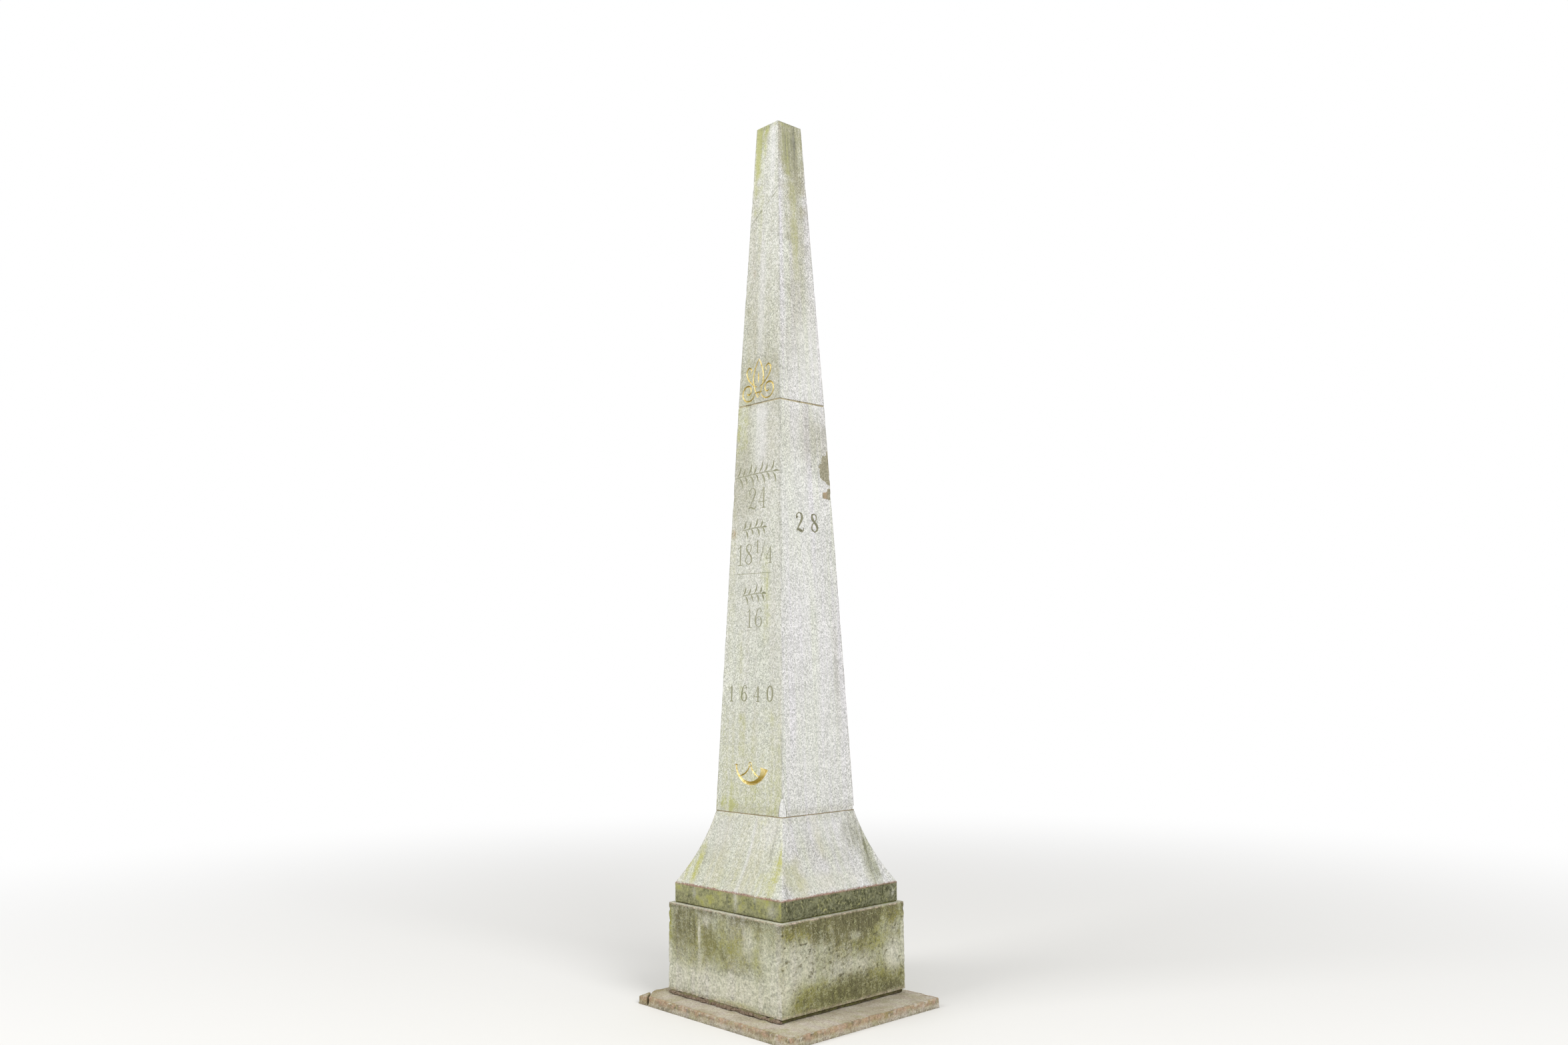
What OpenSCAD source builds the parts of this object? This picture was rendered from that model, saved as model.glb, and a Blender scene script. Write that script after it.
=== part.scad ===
// Granite distance obelisk: a square shaft of two tapered stones on a flared base,
// a square plinth and a broad footing slab. The origin lies under the shaft's axis,
// on the slab's underside. The inscribed side faces -Y and the numbered side faces +X.

/* [Footing slab] */
// Height of the slab above the ground
footing_h = 50; // [40:1:90]
// How far the slab reaches past the plinth on the inscribed side
footing_front = 130; // [60:1:250]
// How far the slab reaches past the plinth on the numbered side
footing_right = 195; // [60:1:300]
// How far the slab reaches past the plinth on the side away from the numbers
footing_left = 80; // [50:1:200]
// How far the slab reaches past the plinth at the back
footing_back = 35; // [10:1:150]
// Wear of the slab's top edges
footing_wear = 9; // [2:1:15]
// Length of the broken-off corner along the slab's front edge
broken_x = 78; // [50:1:110]
// Length of the broken-off corner along the slab's left edge
broken_y = 88; // [50:1:110]
// Width of the crack at the slab's top face
crack_w = 7; // [2:0.5:12]
// Depth to which the crack stands open
crack_depth = 34; // [15:1:38]

/* [Mortar] */
// Thickness of the bed between the slab and the plinth
plinth_bed_t = 14; // [6:1:25]
// How far that bed stands back from the plinth's faces
plinth_bed_back = 10; // [2:1:20]
// How far the fillet of mortar along the inscribed side stands out from the plinth
haunch_w = 24; // [10:1:45]
// Thickness of the bed between the plinth and the flared base
base_bed_t = 4; // [2:0.5:10]
// Thickness of the bed between the flared base and the lower shaft stone
lower_bed_t = 4; // [2:0.5:10]
// Thickness of the bed between the two shaft stones
upper_bed_t = 8; // [2:0.5:14]
// How far the thin beds stand back from the stones' faces
thin_bed_back = 5; // [2:0.5:10]

/* [Plinth] */
// Width of the plinth across its flat faces
plinth_w = 850; // [830:1:950]
// Height of the plinth
plinth_h = 429; // [250:1:600]
// Depth worn off the plinth's upright arrises, measured on the diagonal
plinth_arris = 7; // [2:0.5:15]
// Wear of the plinth's top and bottom edges
plinth_edge = 5; // [1:0.5:10]

/* [Flared base] */
// Width of the plain band at the foot of the base
band_w = 806; // [700:1:820]
// Height of the plain band
band_h = 95; // [60:1:160]
// Height of the hollow flare above the band
flare_h = 357; // [250:1:500]
// Hollow of each flare face, measured square to its chord
flare_hollow = 15; // [6:0.5:28]
// Width of the worn ledge between the band and the flare
band_ledge = 2; // [1:0.5:8]
// Depth worn off the base's arrises, measured on the diagonal
base_arris = 7; // [2:0.5:15]
// Wear of the base's top and bottom edges
base_edge = 3; // [1:0.5:8]

/* [Shaft] */
// Width of the shaft where it stands on the base
shaft_foot_w = 507; // [440:1:560]
// Width of the shaft at the joint between its two stones
shaft_joint_w = 327; // [290:1:380]
// Width of the shaft at the foot of its pointed top
shaft_tip_w = 172; // [130:1:240]
// Height of the lower shaft stone
lower_shaft_h = 2102; // [1900:1:2600]
// Height of the upper shaft stone up to the foot of its pointed top
upper_shaft_h = 1545; // [1000:1:2000]
// Rise of the low pyramid on top
tip_rise = 30; // [10:1:80]
// Width of the small flat that the weather has left on the pyramid
tip_flat = 14; // [6:1:30]
// Depth worn off the shaft's arrises, measured on the diagonal
shaft_arris = 7; // [2:0.5:14]
// Wear of the shaft stones' top and bottom edges
shaft_edge = 4; // [1:0.5:8]

/* [Repairs] */
// Height of the pointed stone plug let into the near arris
plug_h = 89; // [50:1:150]
// Reach of the plug along each face at its foot
plug_w = 29; // [20:1:40]
// Width of the joint round the plug
plug_joint = 0.7; // [0.3:0.1:0.9]
// How far the foot of the upper mortar patch lies below the head of the lower shaft stone
patch_upper_drop = 420; // [342:1:462]
// How far the foot of the lower mortar patch lies below the foot of the upper one
patch_lower_drop = 79; // [76:1:122]
// Depth of both patches behind the face
patch_depth = 14; // [6:1:30]
// Size of the chip knocked off the far corner of the shaft's foot
foot_chip = 24; // [10:1:36]

/* [Wear] */
// How many times more the stones' corners are worn than the edges between them
corner_wear = 1.7; // [1.2:0.1:2.4]

/* [Hidden] */

granite = [0.80, 0.79, 0.76];
weathered_granite = [0.52, 0.49, 0.43];
footing_stone = [0.47, 0.41, 0.36];
mortar = [0.45, 0.39, 0.28];
patch_mortar = [0.56, 0.53, 0.43];

diagonal = sqrt(2);
margin = 20;
far = 4 * plinth_w;
plinth_bed_z = footing_h;
plinth_z = plinth_bed_z + plinth_bed_t;
base_bed_z = plinth_z + plinth_h;
base_z = base_bed_z + base_bed_t;
base_h = band_h + flare_h;
lower_bed_z = base_z + base_h;
lower_shaft_z = lower_bed_z + lower_bed_t;
upper_bed_z = lower_shaft_z + lower_shaft_h;
upper_shaft_z = upper_bed_z + upper_bed_t;

// Plan of the slab, from its left and front edges to its right and back ones
slab_x0 = -plinth_w / 2 - footing_left;
slab_x1 = plinth_w / 2 + footing_right;
slab_y0 = -plinth_w / 2 - footing_front;
slab_y1 = plinth_w / 2 + footing_back;

// Lean of the lower shaft stone's faces
shaft_taper = (shaft_foot_w - shaft_joint_w) / 2 / lower_shaft_h;
shaft_lean = atan(shaft_taper);

// How high the mortar fillet reaches against the plinth, and where its slope bulges
haunch_rise = plinth_bed_t + 2 * plinth_edge;
haunch_belly_z = haunch_rise * 0.6;

// Slant of the chip at the shaft's foot
chip_slant = 35;

// Faces of a full round: wide flare arcs and the small plug
flare_fn = 360;
plug_fn = 96;

// Feet of the mortar patches above the foot of the lower shaft stone
patch_upper_z = lower_shaft_h - patch_upper_drop;
patch_lower_z = patch_upper_z - patch_lower_drop;

// Outlines of the mortar patches: how far in from the arris, and how far up
patch_upper_outline = [[-margin, 0], [30, 0], [34, 20], [56, 24], [73, 40], [70, 62], [75, 98],
                       [58, 112], [43, 150], [15, 158], [11, 190], [-margin, 190]];
patch_lower_outline = [[-margin, 0], [60, 2], [66, 34], [32, 38], [24, 62], [-margin, 62]];

// Side view of a tapered stone, with its top and bottom edges worn back
function stone_side(foot, head, h, worn_in, worn_up) =
    let (slope = (foot - head) / 2 / h)
    [[-foot / 2 + worn_in, 0],
     [foot / 2 - worn_in, 0],
     [foot / 2 - slope * worn_up, worn_up],
     [head / 2 + slope * worn_up, h - worn_up],
     [head / 2 - worn_in, h],
     [-head / 2 + worn_in, h],
     [-head / 2 - slope * worn_up, h - worn_up],
     [-foot / 2 + slope * worn_up, worn_up]];

// The same for the upper stone, whose top rises to a small flat
function pointed_side(foot, head, h, rise, flat_w, worn_in, worn_up) =
    [[-foot / 2 + worn_in, 0],
     [foot / 2 - worn_in, 0],
     [foot / 2 - (foot - head) / 2 / h * worn_up, worn_up],
     [head / 2, h],
     [flat_w / 2, h + rise],
     [-flat_w / 2, h + rise],
     [-head / 2, h],
     [-foot / 2 + (foot - head) / 2 / h * worn_up, worn_up]];

// One side view, seen from the front and from the side at once
module four_sided(side) {
    intersection() {
        rotate([90, 0, 0])
            linear_extrude(far, center = true)
                polygon(side);
        rotate([90, 0, 90])
            linear_extrude(far, center = true)
                polygon(side);
    }
}

// A square, tapered stone whose upright arrises are worn to a narrow slant
module worn_stone(foot, head, h, arris, edge) {
    intersection() {
        four_sided(stone_side(foot, head, h, edge, edge));
        rotate(45)
            four_sided(stone_side(foot * diagonal - 2 * arris, head * diagonal - 2 * arris, h,
                                  edge * diagonal * corner_wear, edge * corner_wear));
    }
}

// What is cut away outside one hollow flare face: a true round, clipped above the band
module flare_cut(foot_r, head_r, hollow) {
    run = foot_r - head_r;
    chord = sqrt(run * run + flare_h * flare_h);
    radius = (chord * chord / 4 + hollow * hollow) / (2 * hollow);
    reach = radius - hollow;
    intersection() {
        translate([(foot_r + head_r) / 2 + reach * flare_h / chord, 0,
                   band_h + flare_h / 2 + reach * run / chord])
            rotate([90, 0, 0])
                cylinder(r = radius, h = far, center = true, $fn = flare_fn);
        translate([0, -far / 2, band_h])
            cube([far, far, flare_h + margin]);
    }
}

// A bed of mortar under a stone, set back from its faces
module bed(w, t, back) {
    color(mortar)
        translate([-w / 2 + back, -w / 2 + back, 0])
            cube([w - 2 * back, w - 2 * back, t]);
}

// The whole slab before its corner broke, with worn top edges
module whole_slab() {
    slab_side_x = [[slab_x0, 0], [slab_x1, 0], [slab_x1, footing_h - footing_wear],
                   [slab_x1 - footing_wear, footing_h], [slab_x0 + footing_wear, footing_h],
                   [slab_x0, footing_h - footing_wear]];
    slab_side_y = [[slab_y0, 0], [slab_y1, 0], [slab_y1, footing_h - footing_wear],
                   [slab_y1 - footing_wear, footing_h], [slab_y0 + footing_wear, footing_h],
                   [slab_y0, footing_h - footing_wear]];
    intersection() {
        rotate([90, 0, 0])
            linear_extrude(far, center = true)
                polygon(slab_side_x);
        rotate([90, 0, 90])
            linear_extrude(far, center = true)
                polygon(slab_side_y);
    }
}

// The corner side of the break, set apart by a share of the crack's open wedge
module corner_side(open_w) {
    break_len = sqrt(broken_x * broken_x + broken_y * broken_y);
    reach_in = broken_x * broken_y / break_len;
    translate([slab_x0, slab_y0, 0])
        rotate(atan2(broken_x, broken_y))
            rotate([90, 0, 0])
                linear_extrude(far, center = true)
                    polygon([[-far, -margin],
                             [reach_in, -margin],
                             [reach_in, footing_h - crack_depth],
                             [reach_in + open_w, footing_h],
                             [reach_in + open_w, footing_h + margin],
                             [-far, footing_h + margin]]);
}

module footing_slab() {
    color(footing_stone)
        difference() {
            whole_slab();
            corner_side(crack_w / 2);
        }
}

module footing_corner() {
    color(footing_stone)
        intersection() {
            whole_slab();
            corner_side(-crack_w / 2);
        }
}

module plinth_bed() {
    translate([0, 0, plinth_bed_z])
        bed(plinth_w, plinth_bed_t, plinth_bed_back);
}

// A fillet of mortar thrown against the plinth's foot on the inscribed side
module plinth_haunch() {
    front = -plinth_w / 2;
    color(mortar)
        translate([-plinth_w / 2 + plinth_arris, 0, plinth_bed_z])
            rotate([90, 0, 90])
                linear_extrude(plinth_w - 2 * plinth_arris)
                    polygon([[front - haunch_w, 0],
                             [front + plinth_bed_back, 0],
                             [front + plinth_bed_back, plinth_bed_t],
                             [front + plinth_edge, plinth_bed_t],
                             [front, plinth_bed_t + plinth_edge],
                             [front, haunch_rise],
                             [front - haunch_w / 2, haunch_belly_z]]);
}

module plinth_block() {
    color(weathered_granite)
        translate([0, 0, plinth_z])
            worn_stone(plinth_w, plinth_w, plinth_h, plinth_arris, plinth_edge);
}

module base_bed() {
    translate([0, 0, base_bed_z])
        bed(band_w, base_bed_t, thin_bed_back);
}

// The stone that takes the most skill: four hollow faces that meet on curved mitres
module flared_base() {
    foot_r = band_w / 2 - band_ledge;
    head_r = shaft_foot_w / 2;
    color(granite)
        translate([0, 0, base_z])
            difference() {
                worn_stone(band_w, band_w, base_h, base_arris, base_edge);
                for (turn = [0:90:270])
                    rotate(turn)
                        flare_cut(foot_r, head_r, flare_hollow);
                for (turn = [45:90:315])
                    rotate(turn)
                        flare_cut(foot_r * diagonal - base_arris, head_r * diagonal - base_arris,
                                  flare_hollow * diagonal);
            }
}

module lower_shaft_bed() {
    translate([0, 0, lower_bed_z])
        bed(shaft_foot_w, lower_bed_t, thin_bed_back);
}

module lower_stone() {
    translate([0, 0, lower_shaft_z])
        worn_stone(shaft_foot_w, shaft_joint_w, lower_shaft_h, shaft_arris, shaft_edge);
}

// The pointed, round-backed space for the plug, standing on the near arris
module plug_space(w) {
    round_r = (plug_h * plug_h + w * w) / (2 * w);
    translate([shaft_foot_w / 2, -shaft_foot_w / 2, lower_shaft_z])
        rotate([0, 0, -45])
            rotate([0, -atan(shaft_taper * diagonal), 0])
                translate([0, 0, -shaft_edge])
                    rotate_extrude($fn = plug_fn)
                        intersection() {
                            translate([w - round_r, 0])
                                circle(round_r, $fn = flare_fn);
                            square([w, plug_h + margin]);
                        }
}

// The space for a patch on the numbered face, next to its far arris
module patch_space(outline, foot_z) {
    arris_y = shaft_foot_w / 2 - shaft_taper * foot_z;
    translate([shaft_foot_w / 2, 0, lower_shaft_z])
        rotate([0, -shaft_lean, 0])
            translate([-patch_depth, arris_y, foot_z])
                rotate([90, 0, 90])
                    linear_extrude(patch_depth + margin)
                        polygon([for (p = outline) [-p[0], p[1]]]);
}

// The chip at the foot of the far arris
module chip_space() {
    translate([shaft_foot_w / 2, shaft_foot_w / 2, lower_shaft_z])
        rotate(45)
            rotate([0, chip_slant, 0])
                cube([foot_chip, far, 2 * foot_chip], center = true);
}

module lower_shaft() {
    color(granite)
        difference() {
            lower_stone();
            plug_space(plug_w + plug_joint);
            patch_space(patch_upper_outline, patch_upper_z);
            patch_space(patch_lower_outline, patch_lower_z);
            chip_space();
        }
}

module arris_plug() {
    color(granite)
        intersection() {
            lower_stone();
            plug_space(plug_w);
        }
}

module edge_patch_upper() {
    color(patch_mortar)
        intersection() {
            lower_stone();
            patch_space(patch_upper_outline, patch_upper_z);
        }
}

module edge_patch_lower() {
    color(patch_mortar)
        intersection() {
            lower_stone();
            patch_space(patch_lower_outline, patch_lower_z);
        }
}

module upper_shaft_bed() {
    translate([0, 0, upper_bed_z])
        bed(shaft_joint_w, upper_bed_t, thin_bed_back);
}

module upper_shaft() {
    color(granite)
        translate([0, 0, upper_shaft_z])
            intersection() {
                four_sided(pointed_side(shaft_joint_w, shaft_tip_w, upper_shaft_h, tip_rise, tip_flat,
                                        shaft_edge, shaft_edge));
                rotate(45)
                    four_sided(pointed_side(shaft_joint_w * diagonal - 2 * shaft_arris,
                                            shaft_tip_w * diagonal - 2 * shaft_arris,
                                            upper_shaft_h - shaft_edge, tip_rise + shaft_edge,
                                            tip_flat * diagonal / corner_wear,
                                            shaft_edge * diagonal * corner_wear,
                                            shaft_edge * corner_wear));
            }
}

footing_slab();
footing_corner();
plinth_bed();
plinth_haunch();
plinth_block();
base_bed();
flared_base();
lower_shaft_bed();
lower_shaft();
arris_plug();
edge_patch_upper();
edge_patch_lower();
upper_shaft_bed();
upper_shaft();
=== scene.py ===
# %% [markdown]
# A square granite distance obelisk of stacked stones. The construction is already fixed, so this
# notebook loads it and then dresses each stone: worn arrises, tooled and split faces, carving with
# old gilding, mortar, growth and dirt. Everything is measured in millimetres and made in metres.

# %% The fixed frame
import itertools
from functools import partial
from math import cos, pi, radians, sin

import bmesh
import bpy
import numpy as np
from mathutils import Matrix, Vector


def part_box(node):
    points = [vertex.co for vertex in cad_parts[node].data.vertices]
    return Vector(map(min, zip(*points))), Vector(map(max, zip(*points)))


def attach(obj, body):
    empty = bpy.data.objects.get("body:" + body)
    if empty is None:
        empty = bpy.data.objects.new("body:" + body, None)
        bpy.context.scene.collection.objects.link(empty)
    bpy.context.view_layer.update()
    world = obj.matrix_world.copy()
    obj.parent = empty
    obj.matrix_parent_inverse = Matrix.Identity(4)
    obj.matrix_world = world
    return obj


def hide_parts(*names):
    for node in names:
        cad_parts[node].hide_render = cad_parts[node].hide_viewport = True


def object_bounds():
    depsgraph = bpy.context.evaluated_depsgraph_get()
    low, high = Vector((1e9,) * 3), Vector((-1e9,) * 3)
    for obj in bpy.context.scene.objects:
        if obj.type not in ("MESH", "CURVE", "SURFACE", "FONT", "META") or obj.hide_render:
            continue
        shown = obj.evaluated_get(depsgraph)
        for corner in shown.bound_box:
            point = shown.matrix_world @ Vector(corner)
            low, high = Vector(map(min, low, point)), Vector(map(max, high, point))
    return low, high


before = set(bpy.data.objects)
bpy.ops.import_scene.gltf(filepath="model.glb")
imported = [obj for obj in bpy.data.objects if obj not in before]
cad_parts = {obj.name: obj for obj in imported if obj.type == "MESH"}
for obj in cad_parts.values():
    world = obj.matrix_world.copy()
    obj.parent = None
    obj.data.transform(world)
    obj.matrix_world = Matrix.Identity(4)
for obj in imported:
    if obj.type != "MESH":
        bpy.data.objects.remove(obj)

MM = 0.001
CAD_BOX = [list(corner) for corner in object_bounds()]
print("construction box in metres:", CAD_BOX)

# %% [markdown]
# The photographer stood about 6.6 m from the shaft's axis, nearly on the diagonal of the plinth, at
# eye height, and tilted the camera up a little. The two directions and the tilts below give the
# three axes of the camera, so nothing has to be aimed by eye.

# %% Camera
PHOTO_WIDTH_PX = 2352
FOCAL_PX = 1898
SENSOR_MM = 36
CAMERA_DISTANCE = 6636.8
CAMERA_HEIGHT = 1668.3
CAMERA_AZIMUTH = radians(47.0824)
CAMERA_LOOK = radians(-0.0744)
CAMERA_PITCH = radians(6.629)
CAMERA_ROLL = radians(-0.5316)


def camera_axes():
    """Right, up and backward directions: a level camera turned by the azimuth and the look, then
    tilted up by the pitch about its own right, then rolled about its line of sight."""
    turn = CAMERA_AZIMUTH + CAMERA_LOOK
    level = np.array([-sin(turn), cos(turn), 0])
    right = np.array([cos(turn), sin(turn), 0])
    zenith = np.array([0, 0, 1])
    sight = level * cos(CAMERA_PITCH) + zenith * sin(CAMERA_PITCH)
    up = zenith * cos(CAMERA_PITCH) - level * sin(CAMERA_PITCH)
    rolled_right = right * cos(CAMERA_ROLL) + up * sin(CAMERA_ROLL)
    rolled_up = up * cos(CAMERA_ROLL) - right * sin(CAMERA_ROLL)
    return rolled_right, rolled_up, -sight


camera_place = np.array([sin(CAMERA_AZIMUTH) * CAMERA_DISTANCE,
                         -cos(CAMERA_AZIMUTH) * CAMERA_DISTANCE, CAMERA_HEIGHT]) * MM
turned = np.identity(4)
turned[:3, :3] = np.array(camera_axes()).T
turned[:3, 3] = camera_place
camera_data = bpy.data.cameras.new("camera")
camera_data.lens = FOCAL_PX / PHOTO_WIDTH_PX * SENSOR_MM
camera_data.sensor_width = SENSOR_MM
camera = bpy.data.objects.new("camera", camera_data)
camera.matrix_world = Matrix(turned.tolist())
bpy.context.scene.collection.objects.link(camera)
bpy.context.scene.camera = camera
print("camera at", camera_place.round(3), "lens", round(camera_data.lens, 2), "mm")

# %% [markdown]
# A few small helpers serve every material. One turns a colour written as hex into the linear
# values that Blender wants. One adds a node, sets its properties, fills its inputs and hands back
# the output that the next node takes, so that a material reads as a list of steps.

# %% Colour and node helpers
TIMES = {"operation": "MULTIPLY"}
TIMES_PLUS = {"operation": "MULTIPLY_ADD"}
LARGER = {"operation": "MAXIMUM"}
COVER = {"data_type": "RGBA"}
TINT = {"data_type": "RGBA", "blend_type": "MULTIPLY"}


def linear(hex_colour):
    """sRGB to linear: value / 12.92 near black, and ((value + 0.055) / 1.055) ** 2.4 above it."""
    channels = np.array([int(hex_colour[i:i + 2], 16) for i in (1, 3, 5)]) / 255
    bright = ((channels + 0.055) / 1.055) ** 2.4
    return (*np.where(channels <= 0.04045, channels / 12.92, bright), 1.0)


def add(tree, kind, *values, output=None, **settings):
    """Adds one node and returns its output of the given name, or else the first in use. The values
    fill the inputs in use in their order: an output is linked, a hex colour turns linear, and None
    leaves an input as it is."""
    node = tree.nodes.new("ShaderNode" + kind)
    for name, value in settings.items():
        setattr(node, name, value)
    in_use = [socket for socket in node.inputs if socket.enabled]
    for socket, value in zip(in_use, values):
        if isinstance(value, bpy.types.NodeSocket):
            tree.links.new(value, socket)
        elif value is not None:
            socket.default_value = linear(value) if isinstance(value, str) else value
    if output:
        return node.outputs[output]
    return next((socket for socket in node.outputs if socket.enabled), None)


def set_stops(picked, stops):
    """Gives the colour ramp behind an output its stops, as (place, hex colour) pairs."""
    elements = picked.node.color_ramp.elements
    while len(elements) < len(stops):
        elements.new(0.5)
    for element, (place, colour) in zip(elements, stops):
        element.position = place
        element.color = linear(colour)


def new_material(name, roughness, specular=0.25):
    """A material with its node tree and its shader, ready for a colour and a bump."""
    material = bpy.data.materials.new(name)
    material.use_nodes = True
    shader = material.node_tree.nodes["Principled BSDF"]
    shader.inputs["Roughness"].default_value = roughness
    shader.inputs["Specular IOR Level"].default_value = specular
    return material, material.node_tree, shader


print("white is", linear("#ffffff"))

# %% [markdown]
# The studio is a pale floor under an even white sky, with one large soft lamp high on the right
# and a weaker one on the left. What the camera sees of the sky is plain white, and far from the
# stone the floor turns to the same white, so there is no horizon and the shadow still shows.

# %% Studio
FLOOR_HALF_M = 60
FLOOR_NEAR_M, FLOOR_FAR_M = 1.5, 9.0
SKY_LIGHT = 0.62
LAMP_SIZE_M = 5.0
SCENE_TOP_M = CAD_BOX[1][2]


def seen(tree):
    """1 for rays from the camera and in reflections, 0 for rays that only light things."""
    rays = add(tree, "LightPath").node.outputs
    mirrored = add(tree, "Math", rays["Is Glossy Ray"], rays["Is Transmission Ray"], **LARGER)
    return add(tree, "Math", rays["Is Camera Ray"], mirrored, **LARGER)


def make_floor():
    """A flat square far wider than the view, at the height of the slab's underside. It is matt
    paper, which shows a soft shadow and no shine, and shades to plain white with the distance."""
    mesh = bpy.data.meshes.new("floor")
    corners = [(x * FLOOR_HALF_M, y * FLOOR_HALF_M, 0) for x, y in ((-1, -1), (1, -1), (1, 1), (-1, 1))]
    mesh.from_pydata(corners, [], [(0, 1, 2, 3)])
    floor = bpy.data.objects.new("floor", mesh)
    bpy.context.scene.collection.objects.link(floor)
    paper, tree, shader = new_material("matt_studio_paper", 0.95, 0.1)
    shader.inputs["Base Color"].default_value = linear("#ecebe8")
    away = add(tree, "VectorMath", add(tree, "TexCoord", output="Object"), operation="LENGTH")
    far = add(tree, "MapRange", away, FLOOR_NEAR_M, FLOOR_FAR_M, interpolation_type="SMOOTHSTEP")
    shown = add(tree, "Math", far, seen(tree), **TIMES)
    mixed = add(tree, "MixShader", shown, shader.outputs[0], add(tree, "Emission", "#ffffff", 1.0))
    tree.links.new(mixed, tree.nodes["Material Output"].inputs["Surface"])
    mesh.materials.append(paper)


def make_sky():
    """White to the camera and in reflections, dimmer as a light."""
    world = bpy.data.worlds.new("sky")
    world.use_nodes = True
    tree = world.node_tree
    tree.nodes.clear()
    strength = add(tree, "MapRange", seen(tree), 0.0, 1.0, SKY_LIGHT, 1.0)
    add(tree, "OutputWorld", add(tree, "Background", "#ffffff", strength))
    bpy.context.scene.world = world


def make_lamp(name, place, watts):
    """A square area lamp that faces the middle of the shaft."""
    data = bpy.data.lights.new(name, "AREA")
    data.energy = watts
    data.size = LAMP_SIZE_M
    lamp = bpy.data.objects.new(name, data)
    away = np.array(place) - np.array([0, 0, SCENE_TOP_M / 2])
    backward = away / np.linalg.norm(away)
    right = np.cross([0, 0, 1], backward)
    right /= np.linalg.norm(right)
    axes = np.identity(4)
    axes[:3, :3] = np.array([right, np.cross(backward, right), backward]).T
    axes[:3, 3] = place
    lamp.matrix_world = Matrix(axes.tolist())
    bpy.context.scene.collection.objects.link(lamp)


make_floor()
make_sky()
make_lamp("right_lamp", (8.5, -1.5, 7.5), 560)
make_lamp("left_lamp", (-2.5, -8.8, 8.0), 500)
bpy.context.scene.view_settings.view_transform = "Standard"
print("studio ready")

# %% [markdown]
# Stone is never flat. Its lumps come from one noise: random heights on a cubic lattice, joined
# smoothly. The heights are worked out from the lattice numbers themselves, so the same stone comes
# out on every run.

# %% Noise
LATTICE_PRIMES = (73856093, 19349663, 83492791)
SEED_START, SEED_STEP = 12345, 83492791
MIXING = ((13, 1274126177), (16, 668265263))
LAST_SHIFT = 15
HASH_BITS = 2 ** 31 - 1


def lattice_height(cells, seed):
    """A height from -1 to 1 for each whole-numbered cell: its numbers times large primes, mixed
    by shifts and large factors, and scaled."""
    mixed = np.full(cells.shape[:-1], SEED_START + seed * SEED_STEP, np.int64)
    for axis, prime in enumerate(LATTICE_PRIMES):
        mixed ^= cells[..., axis] * prime
    for shift, factor in MIXING:
        mixed = (mixed ^ (mixed >> shift)) * factor & HASH_BITS
    return (mixed ^ (mixed >> LAST_SHIFT)) / HASH_BITS * 2 - 1


def lumps(points, size, seed, octaves=1):
    """Smooth random heights from -1 to 1 with lumps of about the given size: each of the eight
    lattice corners round a point, weighted by a smooth step of its nearness. Each further octave
    is half as wide and half as high."""
    total = np.zeros(points.shape[:-1])
    reach = 0
    for octave in range(octaves):
        cells = points / np.array(size) * 2 ** octave
        low = np.floor(cells).astype(np.int64)
        near = cells - low
        near = near * near * (3 - 2 * near)
        for corner in itertools.product((0, 1), repeat=3):
            weight = np.where(corner, near, 1 - near).prod(-1)
            total += weight * lattice_height(low + corner, seed + octave) / 2 ** octave
        reach += 1 / 2 ** octave
    return total / reach


sample = lumps(np.random.default_rng(1).uniform(0, 99, (9999, 3)), 7, 1)
print("noise runs from", sample.min().round(2), "to", sample.max().round(2))

# %% [markdown]
# Every stone here is a closed skin: a profile that runs from the middle of the underside out to
# the rim, up the wall and back to the middle of the top, and a ring, a polygon with rounded
# corners, that the profile is carried round. The rounding is the worn arris, and its radius may
# differ at each height.

# %% Rings
RING_EASE = 0.45


def unit(vectors):
    """Vectors scaled to length one."""
    return vectors / np.linalg.norm(vectors, axis=-1, keepdims=True)


def square_corners(half):
    """Corners of a square for each row, anticlockwise from the front left one."""
    return np.array([[-1, -1], [1, -1], [1, 1], [-1, 1]]) * half[:, None, None]


def rings(corners, radii, side_steps, arc_steps):
    """One rounded polygon for each row of corners, as an array of rows by ring points by x and y.
    Along a side a point runs straight from the end of one arc to the start of the next, closer
    spaced near the arcs. Round a corner it is the arc's centre plus the radius times a direction
    that turns evenly from one side's outward normal to the next one's."""
    inward = unit(corners - np.roll(corners, 1, 1))
    onward = unit(np.roll(corners, -1, 1) - corners)
    normal_in = np.stack([inward[..., 1], -inward[..., 0]], -1)
    normal_on = np.stack([onward[..., 1], -onward[..., 0]], -1)
    turn = np.arccos(np.clip((inward * onward).sum(-1), -1, 1))[..., None]
    cut = radii[..., None] * np.tan(turn / 2)
    centres = corners - inward * cut - normal_in * radii[..., None]
    share = np.linspace(0, 1, arc_steps + 1)[:, None]
    parts = []
    for k in range(corners.shape[1]):
        bend = turn[:, k, None]
        direction = (np.sin((1 - share) * bend) * normal_in[:, k, None]
                     + np.sin(share * bend) * normal_on[:, k, None]) / np.sin(bend)
        parts.append(centres[:, k, None] + radii[:, k, None, None] * direction)
        after = (k + 1) % corners.shape[1]
        start = corners[:, k] + onward[:, k] * cut[:, k]
        end = corners[:, after] - inward[:, after] * cut[:, after]
        even = np.linspace(0, 1, side_steps[k] + 1)[1:-1]
        eased = even * (1 - RING_EASE) + (1 - np.cos(pi * even)) / 2 * RING_EASE
        parts.append(start[:, None] + (end - start)[:, None] * eased[:, None])
    return np.concatenate(parts, 1)


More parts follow.
